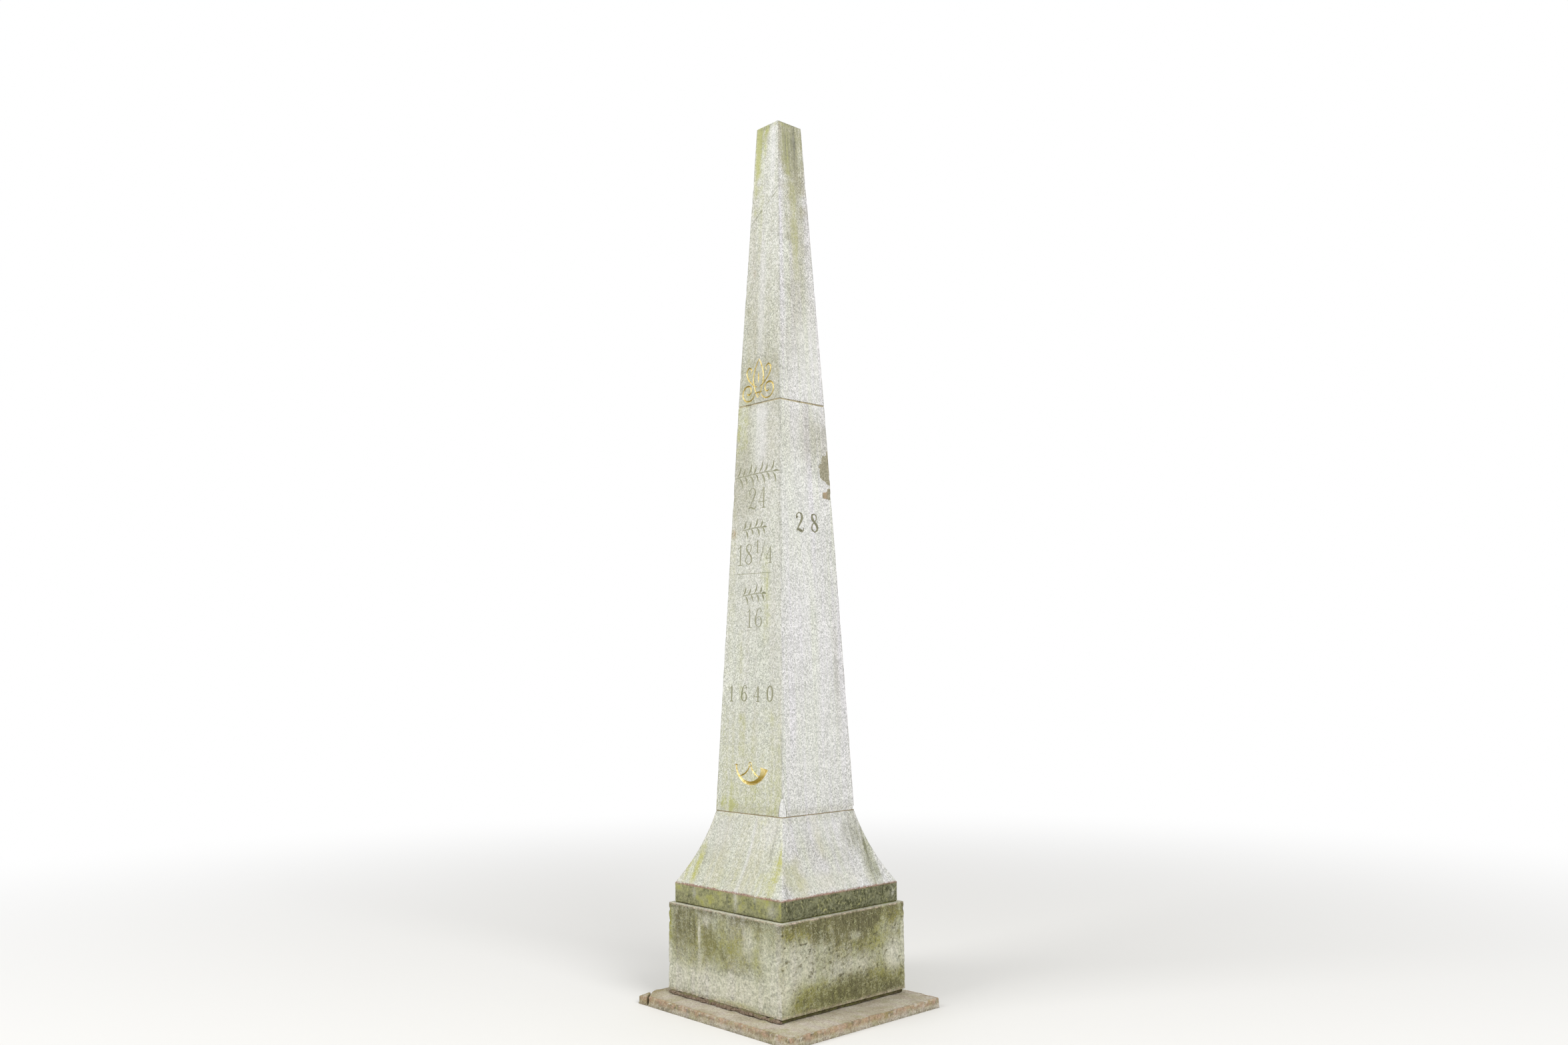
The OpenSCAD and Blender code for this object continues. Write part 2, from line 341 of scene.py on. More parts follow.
def outward(grid):
    """Outward directions of a closed ring grid: the cross product of its steps along the ring and
    its steps along the profile."""
    along = np.roll(grid, -1, 1) - np.roll(grid, 1, 1)
    up = np.gradient(grid, axis=0)
    across = np.cross(along, up)
    return across / np.maximum(np.linalg.norm(across, axis=-1, keepdims=True), 1e-9)


print("a square ring of one row:", rings(square_corners(np.array([10.0])), np.full((1, 4), 2.0),
                                         (4, 4, 4, 4), 3).shape)

# %% [markdown]
# A stack of rings becomes a mesh of quads, and a fan of triangles closes it in the middle of the
# underside and of the top. It could be shaded flat with far more faces, but smooth shading that
# stops at the sharp edges looks the same and weighs less.

# %% Skins
SMOOTH_DEG = 35


def closed_faces(rows, ring):
    """Quads between neighbouring rows of a ring grid, and a fan of triangles at each pole. The
    poles are the two points after the grid."""
    index = np.arange(rows * ring).reshape(rows, ring)
    after = np.roll(index, -1, 1)
    quads = np.stack([index[:-1], after[:-1], after[1:], index[1:]], -1).reshape(-1, 4)
    first_pole, last_pole = rows * ring, rows * ring + 1
    below = np.stack([after[0], index[0], np.full(ring, first_pole)], -1)
    above = np.stack([index[-1], after[-1], np.full(ring, last_pole)], -1)
    return quads.tolist() + below.tolist() + above.tolist()


def make_mesh(name, points_mm, faces):
    """A mesh object at the origin, from points in millimetres, shaded smooth where its faces meet
    at a small angle."""
    mesh = bpy.data.meshes.new(name)
    mesh.from_pydata((np.asarray(points_mm) * MM).tolist(), [], faces)
    mesh.shade_smooth()
    mesh.set_sharp_from_angle(angle=radians(SMOOTH_DEG))
    piece = bpy.data.objects.new(name, mesh)
    bpy.context.scene.collection.objects.link(piece)
    return piece


def skin(name, grid):
    """A closed piece from a ring grid, with its two poles at the middle of its end rows."""
    poles = grid[[0, -1]].mean(1)
    points = np.concatenate([grid.reshape(-1, 3), poles])
    return make_mesh(name, points, closed_faces(*grid.shape[:2]))


print("faces of a skin of 3 rings with 8 points each:", len(closed_faces(3, 8)))

# %% [markdown]
# The profile is the line that a mason's template follows: flat underside, wall and flat top, with
# both edges a little rounded. A plain wall has the same half width all the way up, and a tapered
# one gets its half width from a function of the height, so one profile serves both.

# %% Profiles
CAP_IN = 40
CAP_ROWS = 5
POLE_SHARE = 0.02


def upright(half):
    """Half width of a wall that doesn't taper: the same at any height."""
    return lambda height: np.full(np.shape(height), half)


def wall_profile(half_at, low, high, edge, step):
    """Half width and height of each row, from the middle of the underside to the middle of the
    top: out along the underside, round a quarter circle of the edge's radius, up the wall in
    steps, round the top edge and back in. Close rows near the rim keep the ledges lumpy."""
    quarter = np.linspace(0, pi / 2, 4)
    count = max(2, int(round((high - low - 2 * edge) / step)))
    wall = np.linspace(low + edge, high - edge, count + 1)
    foot, head = half_at(np.array([low, high], float))
    near = np.linspace(CAP_IN, edge, CAP_ROWS)
    under = np.concatenate([[foot * POLE_SHARE, foot * 0.45], foot - near])
    over = np.concatenate([head - near[::-1], [head * 0.45, head * POLE_SHARE]])
    half = np.concatenate([under, foot - edge + edge * np.sin(quarter[1:-1]), half_at(wall),
                           head - edge + edge * np.cos(quarter[1:-1]), over])
    height = np.concatenate([np.full(len(under), low), low + edge - edge * np.cos(quarter[1:-1]),
                             wall, high - edge + edge * np.sin(quarter[1:-1]),
                             np.full(len(over), high)])
    return half, height


print("rows of a wall 100 mm high:", len(wall_profile(upright(50), 0, 100, 3, 10)[0]))

# %% [markdown]
# The heights and widths of the stones come from the loaded construction. Only what a box can't
# tell is written here: how far the thin beds stand back, the width and the rise of the shaft's
# tip, the height of the plain band, the depth of its ledge and the hollow of the flare.

# %% Levels and widths
BED_BACK = 5
TIP_HALF = 86
TIP_RISE = 30
BAND_HEIGHT = 95
FLARE_HOLLOW = 15
BAND_LEDGE = 2


def corners_of(node):
    """The low and the high corner of a node's box, in millimetres."""
    return [np.array(corner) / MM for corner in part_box(node)]


def levels_of(node):
    """Heights of a node's underside and top."""
    return [corner[2] for corner in corners_of(node)]


def half_of(node):
    """Half the width of a node that stands square over the axis."""
    return corners_of(node)[1][0]


PLINTH_HALF = half_of("plinth_block")
BAND_HALF = half_of("flared_base")
FOOT_HALF = half_of("lower_shaft_bed") + BED_BACK
JOINT_HALF = half_of("upper_shaft_bed") + BED_BACK
PLINTH_LOW, PLINTH_HIGH = levels_of("plinth_block")
BASE_LOW, BASE_HIGH = levels_of("flared_base")
BAND_TOP = BASE_LOW + BAND_HEIGHT
LOWER_LOW, LOWER_HIGH = levels_of("lower_shaft")
UPPER_LOW, UPPER_TOP = levels_of("upper_shaft")
UPPER_HIGH = UPPER_TOP - TIP_RISE


def shaft_half(height):
    """Half width of the shaft at a height: straight between the foot, the joint and the tip."""
    return np.interp(height, [LOWER_LOW, LOWER_HIGH, UPPER_LOW, UPPER_HIGH],
                     [FOOT_HALF, JOINT_HALF, JOINT_HALF, TIP_HALF])


def flare_half(height):
    """Half width of the base at a height: the band, then a true round between the flare's foot
    and its head. Its centre lies outside the stone, square to the chord, at the round's radius
    less its hollow."""
    foot, head, rise = BAND_HALF - BAND_LEDGE, FOOT_HALF, BASE_HIGH - BAND_TOP
    run = foot - head
    chord = np.hypot(run, rise)
    radius = (chord ** 2 / 4 + FLARE_HOLLOW ** 2) / (2 * FLARE_HOLLOW)
    reach = radius - FLARE_HOLLOW
    centre_x = (foot + head) / 2 + reach * rise / chord
    centre_z = BAND_TOP + rise / 2 + reach * run / chord
    flare = centre_x - np.sqrt(np.maximum(radius ** 2 - (height - centre_z) ** 2, 0))
    return np.where(height <= BAND_TOP, BAND_HALF, flare)


print("plinth", PLINTH_HALF, "band", BAND_HALF, "shaft", FOOT_HALF, JOINT_HALF, TIP_HALF)

# %% [markdown]
# Granite is a close mass of grains: white feldspar, grey quartz and dark biotite, 3 to 6 mm wide.
# A Voronoi pattern gives each grain its own number, and the number picks the mineral. Over that
# lie five marks of weather: a brown film of soot and soil, yellow-green growth, a pale wash, dark
# crust, and the tint of bare or rusty grains. How much of each there is at a place is stored on
# the mesh. Noise breaks it up: fine noise that catches on the grains, and long noise that follows
# the stored fall line of each face, as rain does.

# %% Weathered granite
# Some stored marks also carry painted light: crust is painted shade on the shaft's arrises, film and crust
# are partly painted shade on the slab's rim, wash and rub are partly painted highlight on the plinth's near
# arris and top edge, and bed growth is painted shade at each bed's top.
MARKS = ("film", "growth", "crust", "washed", "rubbed")
GRAIN_MM = 6
GRAIN_WANDER_MM = 3
BROAD_MM = 170
RUN_STRETCH = 0.045
# Each noise: the size of its lumps in millimetres, detail, roughness, and the height that is none.
NOISES = {"crystals": (4.5, 1.0, 0.5, 0.3), "blotches": (12, 3.0, 0.55, 0.3),
          "patches": (38, 3.0, 0.6, 0.32), "runs": (16, 1.5, 0.5, 0.3),
          "broad runs": (48, 2.0, 0.5, 0.35)}


def granite(name, minerals, film, growth, crust, washed, rubbed, runny, pitted, relief_mm=1.0):
    """Weathered granite: grains, broad mottling, and the five stored marks laid over them. Runny
    says how much of their breaking up follows the rain, and pitted how much the grains gather in
    clumps and the surface in hollows."""
    material, tree, shader = new_material(name, roughness=0.88)
    node = partial(add, tree)
    place = node("TexCoord", output="Object")
    fall = node("Attribute", output="Vector", attribute_name="fall")
    long = node("Mapping", fall, None, None, (1, 1, RUN_STRETCH))
    heights = []
    for kind, (size_mm, detail, roughness, low) in NOISES.items():
        vector = long if "runs" in kind else place
        height = node("TexNoise", vector, 1 / (size_mm * MM), detail, roughness)
        heights.append(node("MapRange", height, low, 1 - low))
    crystals, blotches, patches, runs, broad_runs = heights

    # The grains: bent a little, so that no edge is straight, and coloured by their mineral.
    bend = GRAIN_WANDER_MM * MM
    wander = node("TexNoise", place, 1 / (2 * bend), 1.0, output="Color")
    bent = node("VectorMath", wander, (bend, bend, bend), place, **TIMES_PLUS)
    number = node("SeparateColor", node("TexVoronoi", bent, 1 / (GRAIN_MM * MM), output="Color"))
    grain = node("Mix", 0.6, crystals, number)
    mineral = node("ValToRGB", node("Mix", pitted, grain, blotches))
    set_stops(mineral, minerals)
    broad = node("MapRange", node("TexNoise", place, 1 / (BROAD_MM * MM), 3.0), 0.3, 0.7, 0.96, 1.03)
    toned = node("Mix", 1.0, mineral, node("CombineColor", broad, broad, broad), **TINT)
    drift = node("Mix", broad_runs, "#f3f4ea", "#f6f3f7", **COVER)
    clean = node("Mix", 1.0, toned, drift, **TINT)

    # How much of each mark is left once noise has broken it up: crust may be more than all of it.
    lumpy = node("Math", patches, 0.3, node("Math", blotches, 0.4, **TIMES), **TIMES_PLUS)
    mottled = node("Math", grain, -0.3, node("Math", lumpy, 0.3), **TIMES_PLUS)
    breakup = node("Mix", runny, mottled, runs)
    uneven = node("MapRange", breakup, 0.2 + 0.15 * pitted, 0.8 - 0.15 * pitted, 0.15, 1.85)
    soft = node("MapRange", node("Mix", runny, mottled, broad_runs), 0.25, 0.75, 0.3, 1.7)
    calm = node("Mix", 0.4, 1.0, uneven)
    left = {}
    for mark, breaking in zip(MARKS, (calm, soft, uneven, uneven, uneven)):
        held = node("Attribute", output="Fac", attribute_name=mark)
        left[mark] = node("Math", held, breaking, use_clamp=mark != "crust", **TIMES)

    colour = node("Mix", left["film"], clean, film, **TINT)
    tinted = node("Mix", 1.0, colour, growth[0], **TINT)
    bloom = node("Mix", left["growth"], growth[1], growth[2], **COVER)
    green = node("Mix", 0.6, tinted, bloom, **COVER)
    colour = node("Mix", left["growth"], colour, green, **COVER)
    colour = node("Mix", node("Math", left["washed"], 0.4, **TIMES), colour, washed, **COVER)
    speckled = node("MapRange", node("Mix", 0.35, blotches, patches), 0.2, 0.8)
    dark = node("Mix", speckled, crust[0], crust[1], **COVER)
    grained = node("Mix", 1.0, colour, node("Mix", 0.3, dark, "#ffffff", **COVER), **TINT)
    crusted = node("Mix", 0.25, dark, grained, **COVER)
    dirty = node("MapRange", left["crust"], 0.2 * pitted, 1.05 - 0.3 * pitted)
    colour = node("Mix", dirty, colour, crusted, **COVER)
    bare = node("Mix", 1.0, clean, rubbed, **TINT)
    tree.links.new(node("Mix", left["rubbed"], colour, bare, **COVER), shader.inputs["Base Color"])
    height = node("Math", blotches, pitted + 0.3, grain, **TIMES_PLUS)
    tree.links.new(node("Bump", 1.0, relief_mm * MM, None, height), shader.inputs["Normal"])
    return material


print("sizes of the noises in millimetres:", {kind: values[0] for kind, values in NOISES.items()})

# %% [markdown]
# The four kinds of stone are the same rock, dressed from fine to rough. The rougher a face is, the
# more dirt it holds and the less its grains stand out, so the finishes differ in the colours of
# their grains and marks, and in the depth of their relief.

# %% Four finishes of granite
CLEAN_MINERALS = [(0.0, "#969894"), (0.25, "#b5b6b3"), (0.5, "#d5d6d4"), (0.75, "#efefee"),
                  (1.0, "#fefefe")]
ROUGH_MINERALS = [(0.0, "#8b8b7e"), (0.25, "#b0b0a3"), (0.5, "#cccdbb"), (0.75, "#e8e7da"),
                  (1.0, "#fcfbf0")]
SLAB_MINERALS = [(0.0, "#a3988c"), (0.3, "#c2b4a8"), (0.5, "#cfc8b8"), (0.7, "#dad5c7"),
                 (1.0, "#efece3")]

# Bush-hammered fine and flat: every grain shows sharp, and from afar the face is an even pale grey.
shaft_stone = granite("finely_dressed_granite", CLEAN_MINERALS, film="#c0bba3",
                      growth=("#e0e2b0", "#cccdb6", "#b9bb80"), crust=("#5e5e52", "#98978a"),
                      washed="#efefee", rubbed="#d5bb96", runny=0.45, pitted=0.1)
# Dressed a little coarser: the same grains, softer, with soot and growth caught between them.
base_stone = granite("dressed_granite", CLEAN_MINERALS, film="#b5b488",
                     growth=("#e2e2a4", "#cfcfab", "#bbbb6e"), crust=("#35371f", "#86876c"),
                     washed="#e4e2e6", rubbed="#be9588", runny=0.5, pitted=0.25, relief_mm=1.4)
# Worked with a point: grains in clumps and pits between them, so dirt sits in dark, ragged spots.
plinth_stone = granite("pointed_granite", ROUGH_MINERALS, film="#aeaa6a",
                       growth=("#d6d68c", "#b6b484", "#a3a352"), crust=("#393524", "#807c5e"),
                       washed="#ece8d6", rubbed="#fbe7e2", runny=0.15, pitted=0.6, relief_mm=3.0)
# Split along its grain and walked on: low contrast, brown with soil, and pinkish where it is fresh.
slab_stone = granite("split_granite", SLAB_MINERALS, film="#c4ba90",
                     growth=("#d2d298", "#aaa681", "#93954a"), crust=("#5a5544", "#938d7a"),
                     washed="#ddd6cb", rubbed="#e8d0bf", runny=0.0, pitted=0.4, relief_mm=2.4)
print("stone finishes:", [stone.name for stone in (shaft_stone, base_stone, plinth_stone, slab_stone)])

# %% [markdown]
# Lime mortar in old joints is a sandy mass, stained ochre or full of soil and partly washed out,
# and darker along the top of each bed, which is painted shade under the stone above. The repair
# mortar on the arris is finer, smoothed by a trowel, and darker than the stone. All are three tones
# picked by noise, with a sandy bump. Gold leaf is a metal, so it shows the studio's white more
# than a colour of its own.

# %% Mortar, gilding and paint
SAND_MM = 2.5
GOLD_WEAR_MM = 12
GOLD_CRUMPLE_MM = 4


def sandy(name, dark, middle, light, lump_mm, relief_mm, growth="#6f7a2c"):
    """A fine-grained mass: sand and broader lumps, half and half, pick one of three tones, and a
    fourth covers it where growth is stored, which on a bed's top is painted shade."""
    material, tree, shader = new_material(name, roughness=0.95)
    node = partial(add, tree)
    place = node("TexCoord", output="Object")
    drift = node("TexNoise", place, 1 / (lump_mm * MM), 3.0, 0.6)
    sand = node("TexNoise", place, 1 / (SAND_MM * MM), 2.0)
    tone = node("Mix", 0.5, drift, sand)
    shown = node("ValToRGB", tone)
    set_stops(shown, ((0.36, dark), (0.5, middle), (0.64, light)))
    held = node("Attribute", output="Fac", attribute_name="growth")
    covered = node("Math", held, node("MapRange", drift, 0.3, 0.6), use_clamp=True, **TIMES)
    tree.links.new(node("Mix", covered, shown, growth, **COVER), shader.inputs["Base Color"])
    tree.links.new(node("Bump", 1.0, relief_mm * MM, None, tone), shader.inputs["Normal"])
    return material


def gold_leaf():
    """Gilding in a cut: a metal, soft from the rough stone under it, browner where it is worn, and
    darker on the walls that face down, which is painted shade."""
    material, tree, shader = new_material("gold_leaf_over_size", roughness=0.42)
    shader.inputs["Metallic"].default_value = 1.0
    node = partial(add, tree)
    place = node("TexCoord", output="Object")
    leaf = node("ValToRGB", node("TexNoise", place, 1 / (GOLD_WEAR_MM * MM), 3.0))
    set_stops(leaf, ((0.3, "#b19852"), (0.42, "#e0cb80"), (0.7, "#f8efc0")))
    upward = node("SeparateXYZ", node("NewGeometry", output="Normal"), output="Z")
    # Painted shade: walls that face down are mixed towards a dull dark gold.
    downward_painted_shade = node("MapRange", upward, 0.1, -0.6)
    tree.links.new(node("Mix", downward_painted_shade, leaf, "#a08e4c", **COVER), shader.inputs["Base Color"])
    crumpled = node("TexNoise", place, 1 / (GOLD_CRUMPLE_MM * MM), 2.0)
    tree.links.new(node("Bump", 1.0, 0.5 * MM, None, crumpled), shader.inputs["Normal"])
    return material


# Old mortars, matt and crumbling: brown at the foot of the shaft, ochre between its stones, almost
# black under the base, with soil and as painted shade of the gap, and a rough pinkish brown where
# it was thrown on by hand.
# On every bed the growth colour also stands for painted shade along the bed's top, under the stone above.
bed_mortar = sandy("old_lime_mortar", "#7b6a4e", "#9c8b6b", "#b9ab8b", 16, 2.0, growth="#5e5a42")
ochre_mortar = sandy("ochre_lime_mortar", "#a0936f", "#bcb294", "#d0c9b3", 16, 2.0, growth="#574c2e")
# Its near-black tones are soil and painted shade: they stand for the dark gap under the plinth and under the
# base.
soiled_mortar_and_shade = sandy("soiled_mortar_and_painted_shade", "#37311f", "#544c37", "#756c52", 22, 3.0)
fillet_mortar = sandy("thrown_lime_mortar", "#4f4334", "#7d6b59", "#b3a394", 11, 4.0, growth="#6f7440")
# Trowelled smooth: hardly any relief, and a mottled brown that reads as one flat patch.
patch_mortar = sandy("trowelled_repair_mortar", "#6f6c58", "#918c77", "#bdb8a4", 9, 0.5, growth="#a18c72")
# What lies in the cuts: worn dark paint in some, and in the others dirt darkened further as painted shade in
# the V, so that the strokes are drawn softly.
cut_paint = sandy("worn_paint_in_cuts", "#727158", "#8d8c76", "#a6a490", 10, 0.4)
cut_dirt_and_shade = sandy("dirt_and_painted_shade_in_cuts", "#96957f", "#acab97", "#c0beac", 10, 0.4)
gilding = gold_leaf()
OTHER_FINISHES = (bed_mortar, ochre_mortar, soiled_mortar_and_shade, fillet_mortar, patch_mortar, cut_paint,
                  cut_dirt_and_shade, gilding)
print("other finishes:", [finish.name for finish in OTHER_FINISHES])

# %% [markdown]
# Marks are placed one by one, as soft ellipses on a face. Each is listed as how far across from the
# face's middle, how high, half its width, half its height and its strength. The two unseen sides
# repeat the two that show, turned half round. Marks that follow the stone's form, such as dirt
# under a rim or in the pits, are whole fields worked out from the place instead.

# %% Marks of weather
ARRIS_BLEND = 8
RAGGED_MM = 55
RAGGED = 0.4


def smooth(value, low, high):
    """0 below low, 1 above high, and a smooth step between."""
    t = np.clip((value - low) / (high - low), 0, 1)
    return t * t * (3 - 2 * t)


def patchy(points, size, seed, low, high, octaves=2):
    """Ragged patches: 0 where the lumps are below low and 1 where they are above high."""
    return smooth(lumps(points, size, seed, octaves), low, high)


def face_shares(points):
    """For both kinds of face, twice over: how much each point lies on it, and how far across."""
    x, y, _ = points.T
    for side in (1, -1):
        for face, out, across in (("front", -side * y, side * x), ("right", side * x, side * y)):
            beyond = out - np.maximum(abs(across), -out)
            yield face, smooth(beyond, -ARRIS_BLEND, ARRIS_BLEND), across


def mark(points, spots):
    """How strongly a kind of mark covers each point: 1 minus the product of what every soft
    ellipse leaves bare. An ellipse fades from 0.2 to 1.3 of its size, and noise shifts its edge.
    A spot on a face counts as much as the point lies on that face."""
    shift = lumps(points, RAGGED_MM, 5, 3) * RAGGED
    bare = np.ones(len(points))
    for face, share, place in face_shares(points):
        for across, up, half_across, half_up, strength in spots.get(face, []):
            far = np.hypot((place - across) / half_across, (points[:, 2] - up) / half_up)
            bare *= 1 - strength * share * (1 - smooth(far + shift, 0.2, 1.3))
    return 1 - bare


def on_numbered(points):
    """1 on the numbered side and the one opposite, 0 on the other two."""
    return sum(share for face, share, _ in face_shares(points) if face == "right")


def on_inscribed(points):
    """1 on the inscribed side and the one opposite, 0 on the other two."""
    return smooth(abs(points[:, 1]) - abs(points[:, 0]), -ARRIS_BLEND, ARRIS_BLEND)


print("front, right and arris lie on the numbered side:",
      on_numbered(np.array([[0, -9, 0], [9, 0, 0], [9, -9, 0]])))

# %% [markdown]
# Each piece keeps its marks as numbers on its own points, where the material reads them. They
# could be painted on an image instead, but numbers on the mesh need no unwrapping and stay with
# it. Rain takes other dirt along, so film, growth and crust are thin where the stone is washed.

# %% Marks kept on the mesh
FACE_APART_M = 3.0
WASHED_OFF = 0.85


def fall_line(points):
    """Where each point lies for rain that runs down its face: how far across, which face, how
    high. The four faces are put far apart, so that no run repeats on the next face."""
    x, y, height = points.T
    front = abs(y) >= abs(x)
    across = np.where(front, x * -np.sign(y), y * np.sign(x))
    number = np.where(front, np.where(y < 0, 0, 2), np.where(x > 0, 1, 3))
    return np.stack([across * MM + number * FACE_APART_M, np.zeros(len(points)), height * MM], -1)


def store(piece, name, values):
    """Keeps one number for each point of a piece."""
    attribute = piece.data.attributes.new(name, "FLOAT", "POINT")
    attribute.data.foreach_set("value", values.astype(np.float32))


def points_of(piece):
    """A piece's points in millimetres."""
    flat = np.zeros(len(piece.data.vertices) * 3, np.float32)
    piece.data.vertices.foreach_get("co", flat)
    return flat.reshape(-1, 3).astype(float) / MM


def weather(piece, marks, fields, shorter=None):
    """Stores the fall line and all five marks on a piece: the larger of its spots and of its whole
    field at each point. Film, growth and crust are thin where the stone is washed. Where runs are
    shorter, the height counts for more."""
    points = points_of(piece)
    fall = fall_line(points)
    if shorter:
        fall[:, 2] *= shorter(points)
    falls = piece.data.attributes.new("fall", "FLOAT_VECTOR", "POINT")
    falls.data.foreach_set("vector", fall.astype(np.float32).ravel())
    values = {}
    for name in MARKS:
        values[name] = mark(points, marks.get(name, {}))
        if name in fields:
            values[name] = np.maximum(values[name], fields[name](points))
    for name in ("film", "growth", "crust"):
        values[name] *= 1 - WASHED_OFF * values["washed"]
    for name in MARKS:
        store(piece, name, values[name])


def settle(piece, node, slot_name, *materials):
    """Gives a piece its materials and its place in the object."""
    for material in materials:
        piece.data.materials.append(material)
    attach(piece, "root")
    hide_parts(node)
    print(piece.name, len(piece.data.polygons), "faces")


print("a point on the right face falls along", fall_line(np.array([[300.0, 20.0, 900.0]])).round(3))

# %% [markdown]
# All square stones wear in the same way: frost rounds and chips the arrises, and the faces keep
# the swell and the tool marks of their dressing. Both are real geometry, because they show in the
# outline. The beds stay flat but for their rims, so that the stones still meet.

# %% Wear of a square stone
WALL_FADE = 6
CAP_SHARE = 0.25


def worn_radii(points, base, vary, chip, size, seed):
    """Radius of the worn arris at each height: a base value that varies slowly, and chips where
    a second noise peaks."""
    wander = lumps(points, size * 3, seed) * vary
    peaks = patchy(points, size, seed + 1, 0.35, 0.7) * chip
    return np.maximum(base + wander + peaks, 1.0)


def corner_points(corners, height):
    """The corners of every row with their height, for noise that depends on the place."""
    return np.concatenate([corners, np.broadcast_to(height[:, None, None], (*corners.shape[:2], 1))], -1)


def stone_grid(half, height, side_steps, radius_of, arc_steps=5):
    """A ring grid for a square stone: rounded rings, one for each row of its profile. Near the
    middle of a cap the arris radius shrinks with the ring."""
    corners = square_corners(half)
    radii = radius_of(corner_points(corners, height))
    radii = np.minimum(radii, half[:, None] * 0.3)
    ring = rings(corners, radii, (side_steps,) * 4, arc_steps)
    tall = np.broadcast_to(height[:, None, None], (*ring.shape[:2], 1))
    return np.concatenate([ring, tall], -1)


def relief(grid, layers, amount):
    """Moves a skin along its outward direction by layers of noise, each of (size, height, seed)
    in millimetres. The amount says where: 1 on the walls, 0 where the stone has to stay flat."""
    height = sum(lumps(grid, size, seed) * tall for size, tall, seed in layers)
    return grid + outward(grid) * (height * amount)[..., None]


def on_walls(grid, half, low, high):
    """1 on the walls, little on the rim of the caps and 0 further in, so that beds and stones
    still meet."""
    inside = smooth(np.abs(grid[..., :2]).max(-1), half.max() * 0.5, half.max() * 0.8)
    from_caps = smooth(np.minimum(grid[..., 2] - low, high - grid[..., 2]), -1, WALL_FADE)
    return np.maximum(from_caps, CAP_SHARE) * inside


print("worn arris of 6 mm at three places:",
      worn_radii(np.array([[9.0, 0, 0], [9.0, 0, 50], [9.0, 0, 90]]), 6, 2, 10, 22, 3).round(1))

# %% [markdown]
# The plinth was worked with a point, a steel punch driven at a slant, so its faces are pitted and
# its arrises ragged. The lumps are a broad swell, the furrows of the point and small pits, all
# taken off or put on along the outward direction of the skin.

# %% Plinth
PLINTH_EDGE = 3.5
PLINTH_STEP = 7
PLINTH_ARRIS = partial(worn_radii, base=6, vary=2, chip=10, size=22, seed=3)
PLINTH_LAYERS = [(150, 1.6, 11), (34, 1.7, 12), (14, 1.4, 13), ((11, 11, 26), 0.9, 14)]
PIT_MM = (22, 22, 16)
PIT_DEPTH = 3.5


def pits(points):
    """1 in the pits that the point left, and 0 between them."""
    return patchy(points, PIT_MM, 15, 0.25, 0.55)


def make_plinth():
    """The square profile with its worn arrises, then the swell, furrows and pits of the point."""
    half, height = wall_profile(upright(PLINTH_HALF), PLINTH_LOW, PLINTH_HIGH, PLINTH_EDGE, PLINTH_STEP)
    grid = stone_grid(half, height, 110, PLINTH_ARRIS)
    amount = on_walls(grid, half, PLINTH_LOW, PLINTH_HIGH)
    grid = relief(grid, PLINTH_LAYERS, amount)
    return skin("plinth", grid - outward(grid) * (pits(grid) * PIT_DEPTH * amount)[..., None])


plinth = make_plinth()
print("plinth:", len(plinth.data.polygons), "faces")

# %% [markdown]
# Film is thickest under the plinth's top edge and near the ground, and dark crust hangs from that
# edge and fills the pits. Growth sits on the arrises, in patches and at the damp foot, and rain has
# washed a few runs pale. The near arris is paler as wash and painted highlight, the top edge as
# wear and painted highlight, and the top of the ledge is made pale. The spots are listed by their
# places, and what follows the form is worked out as a field.

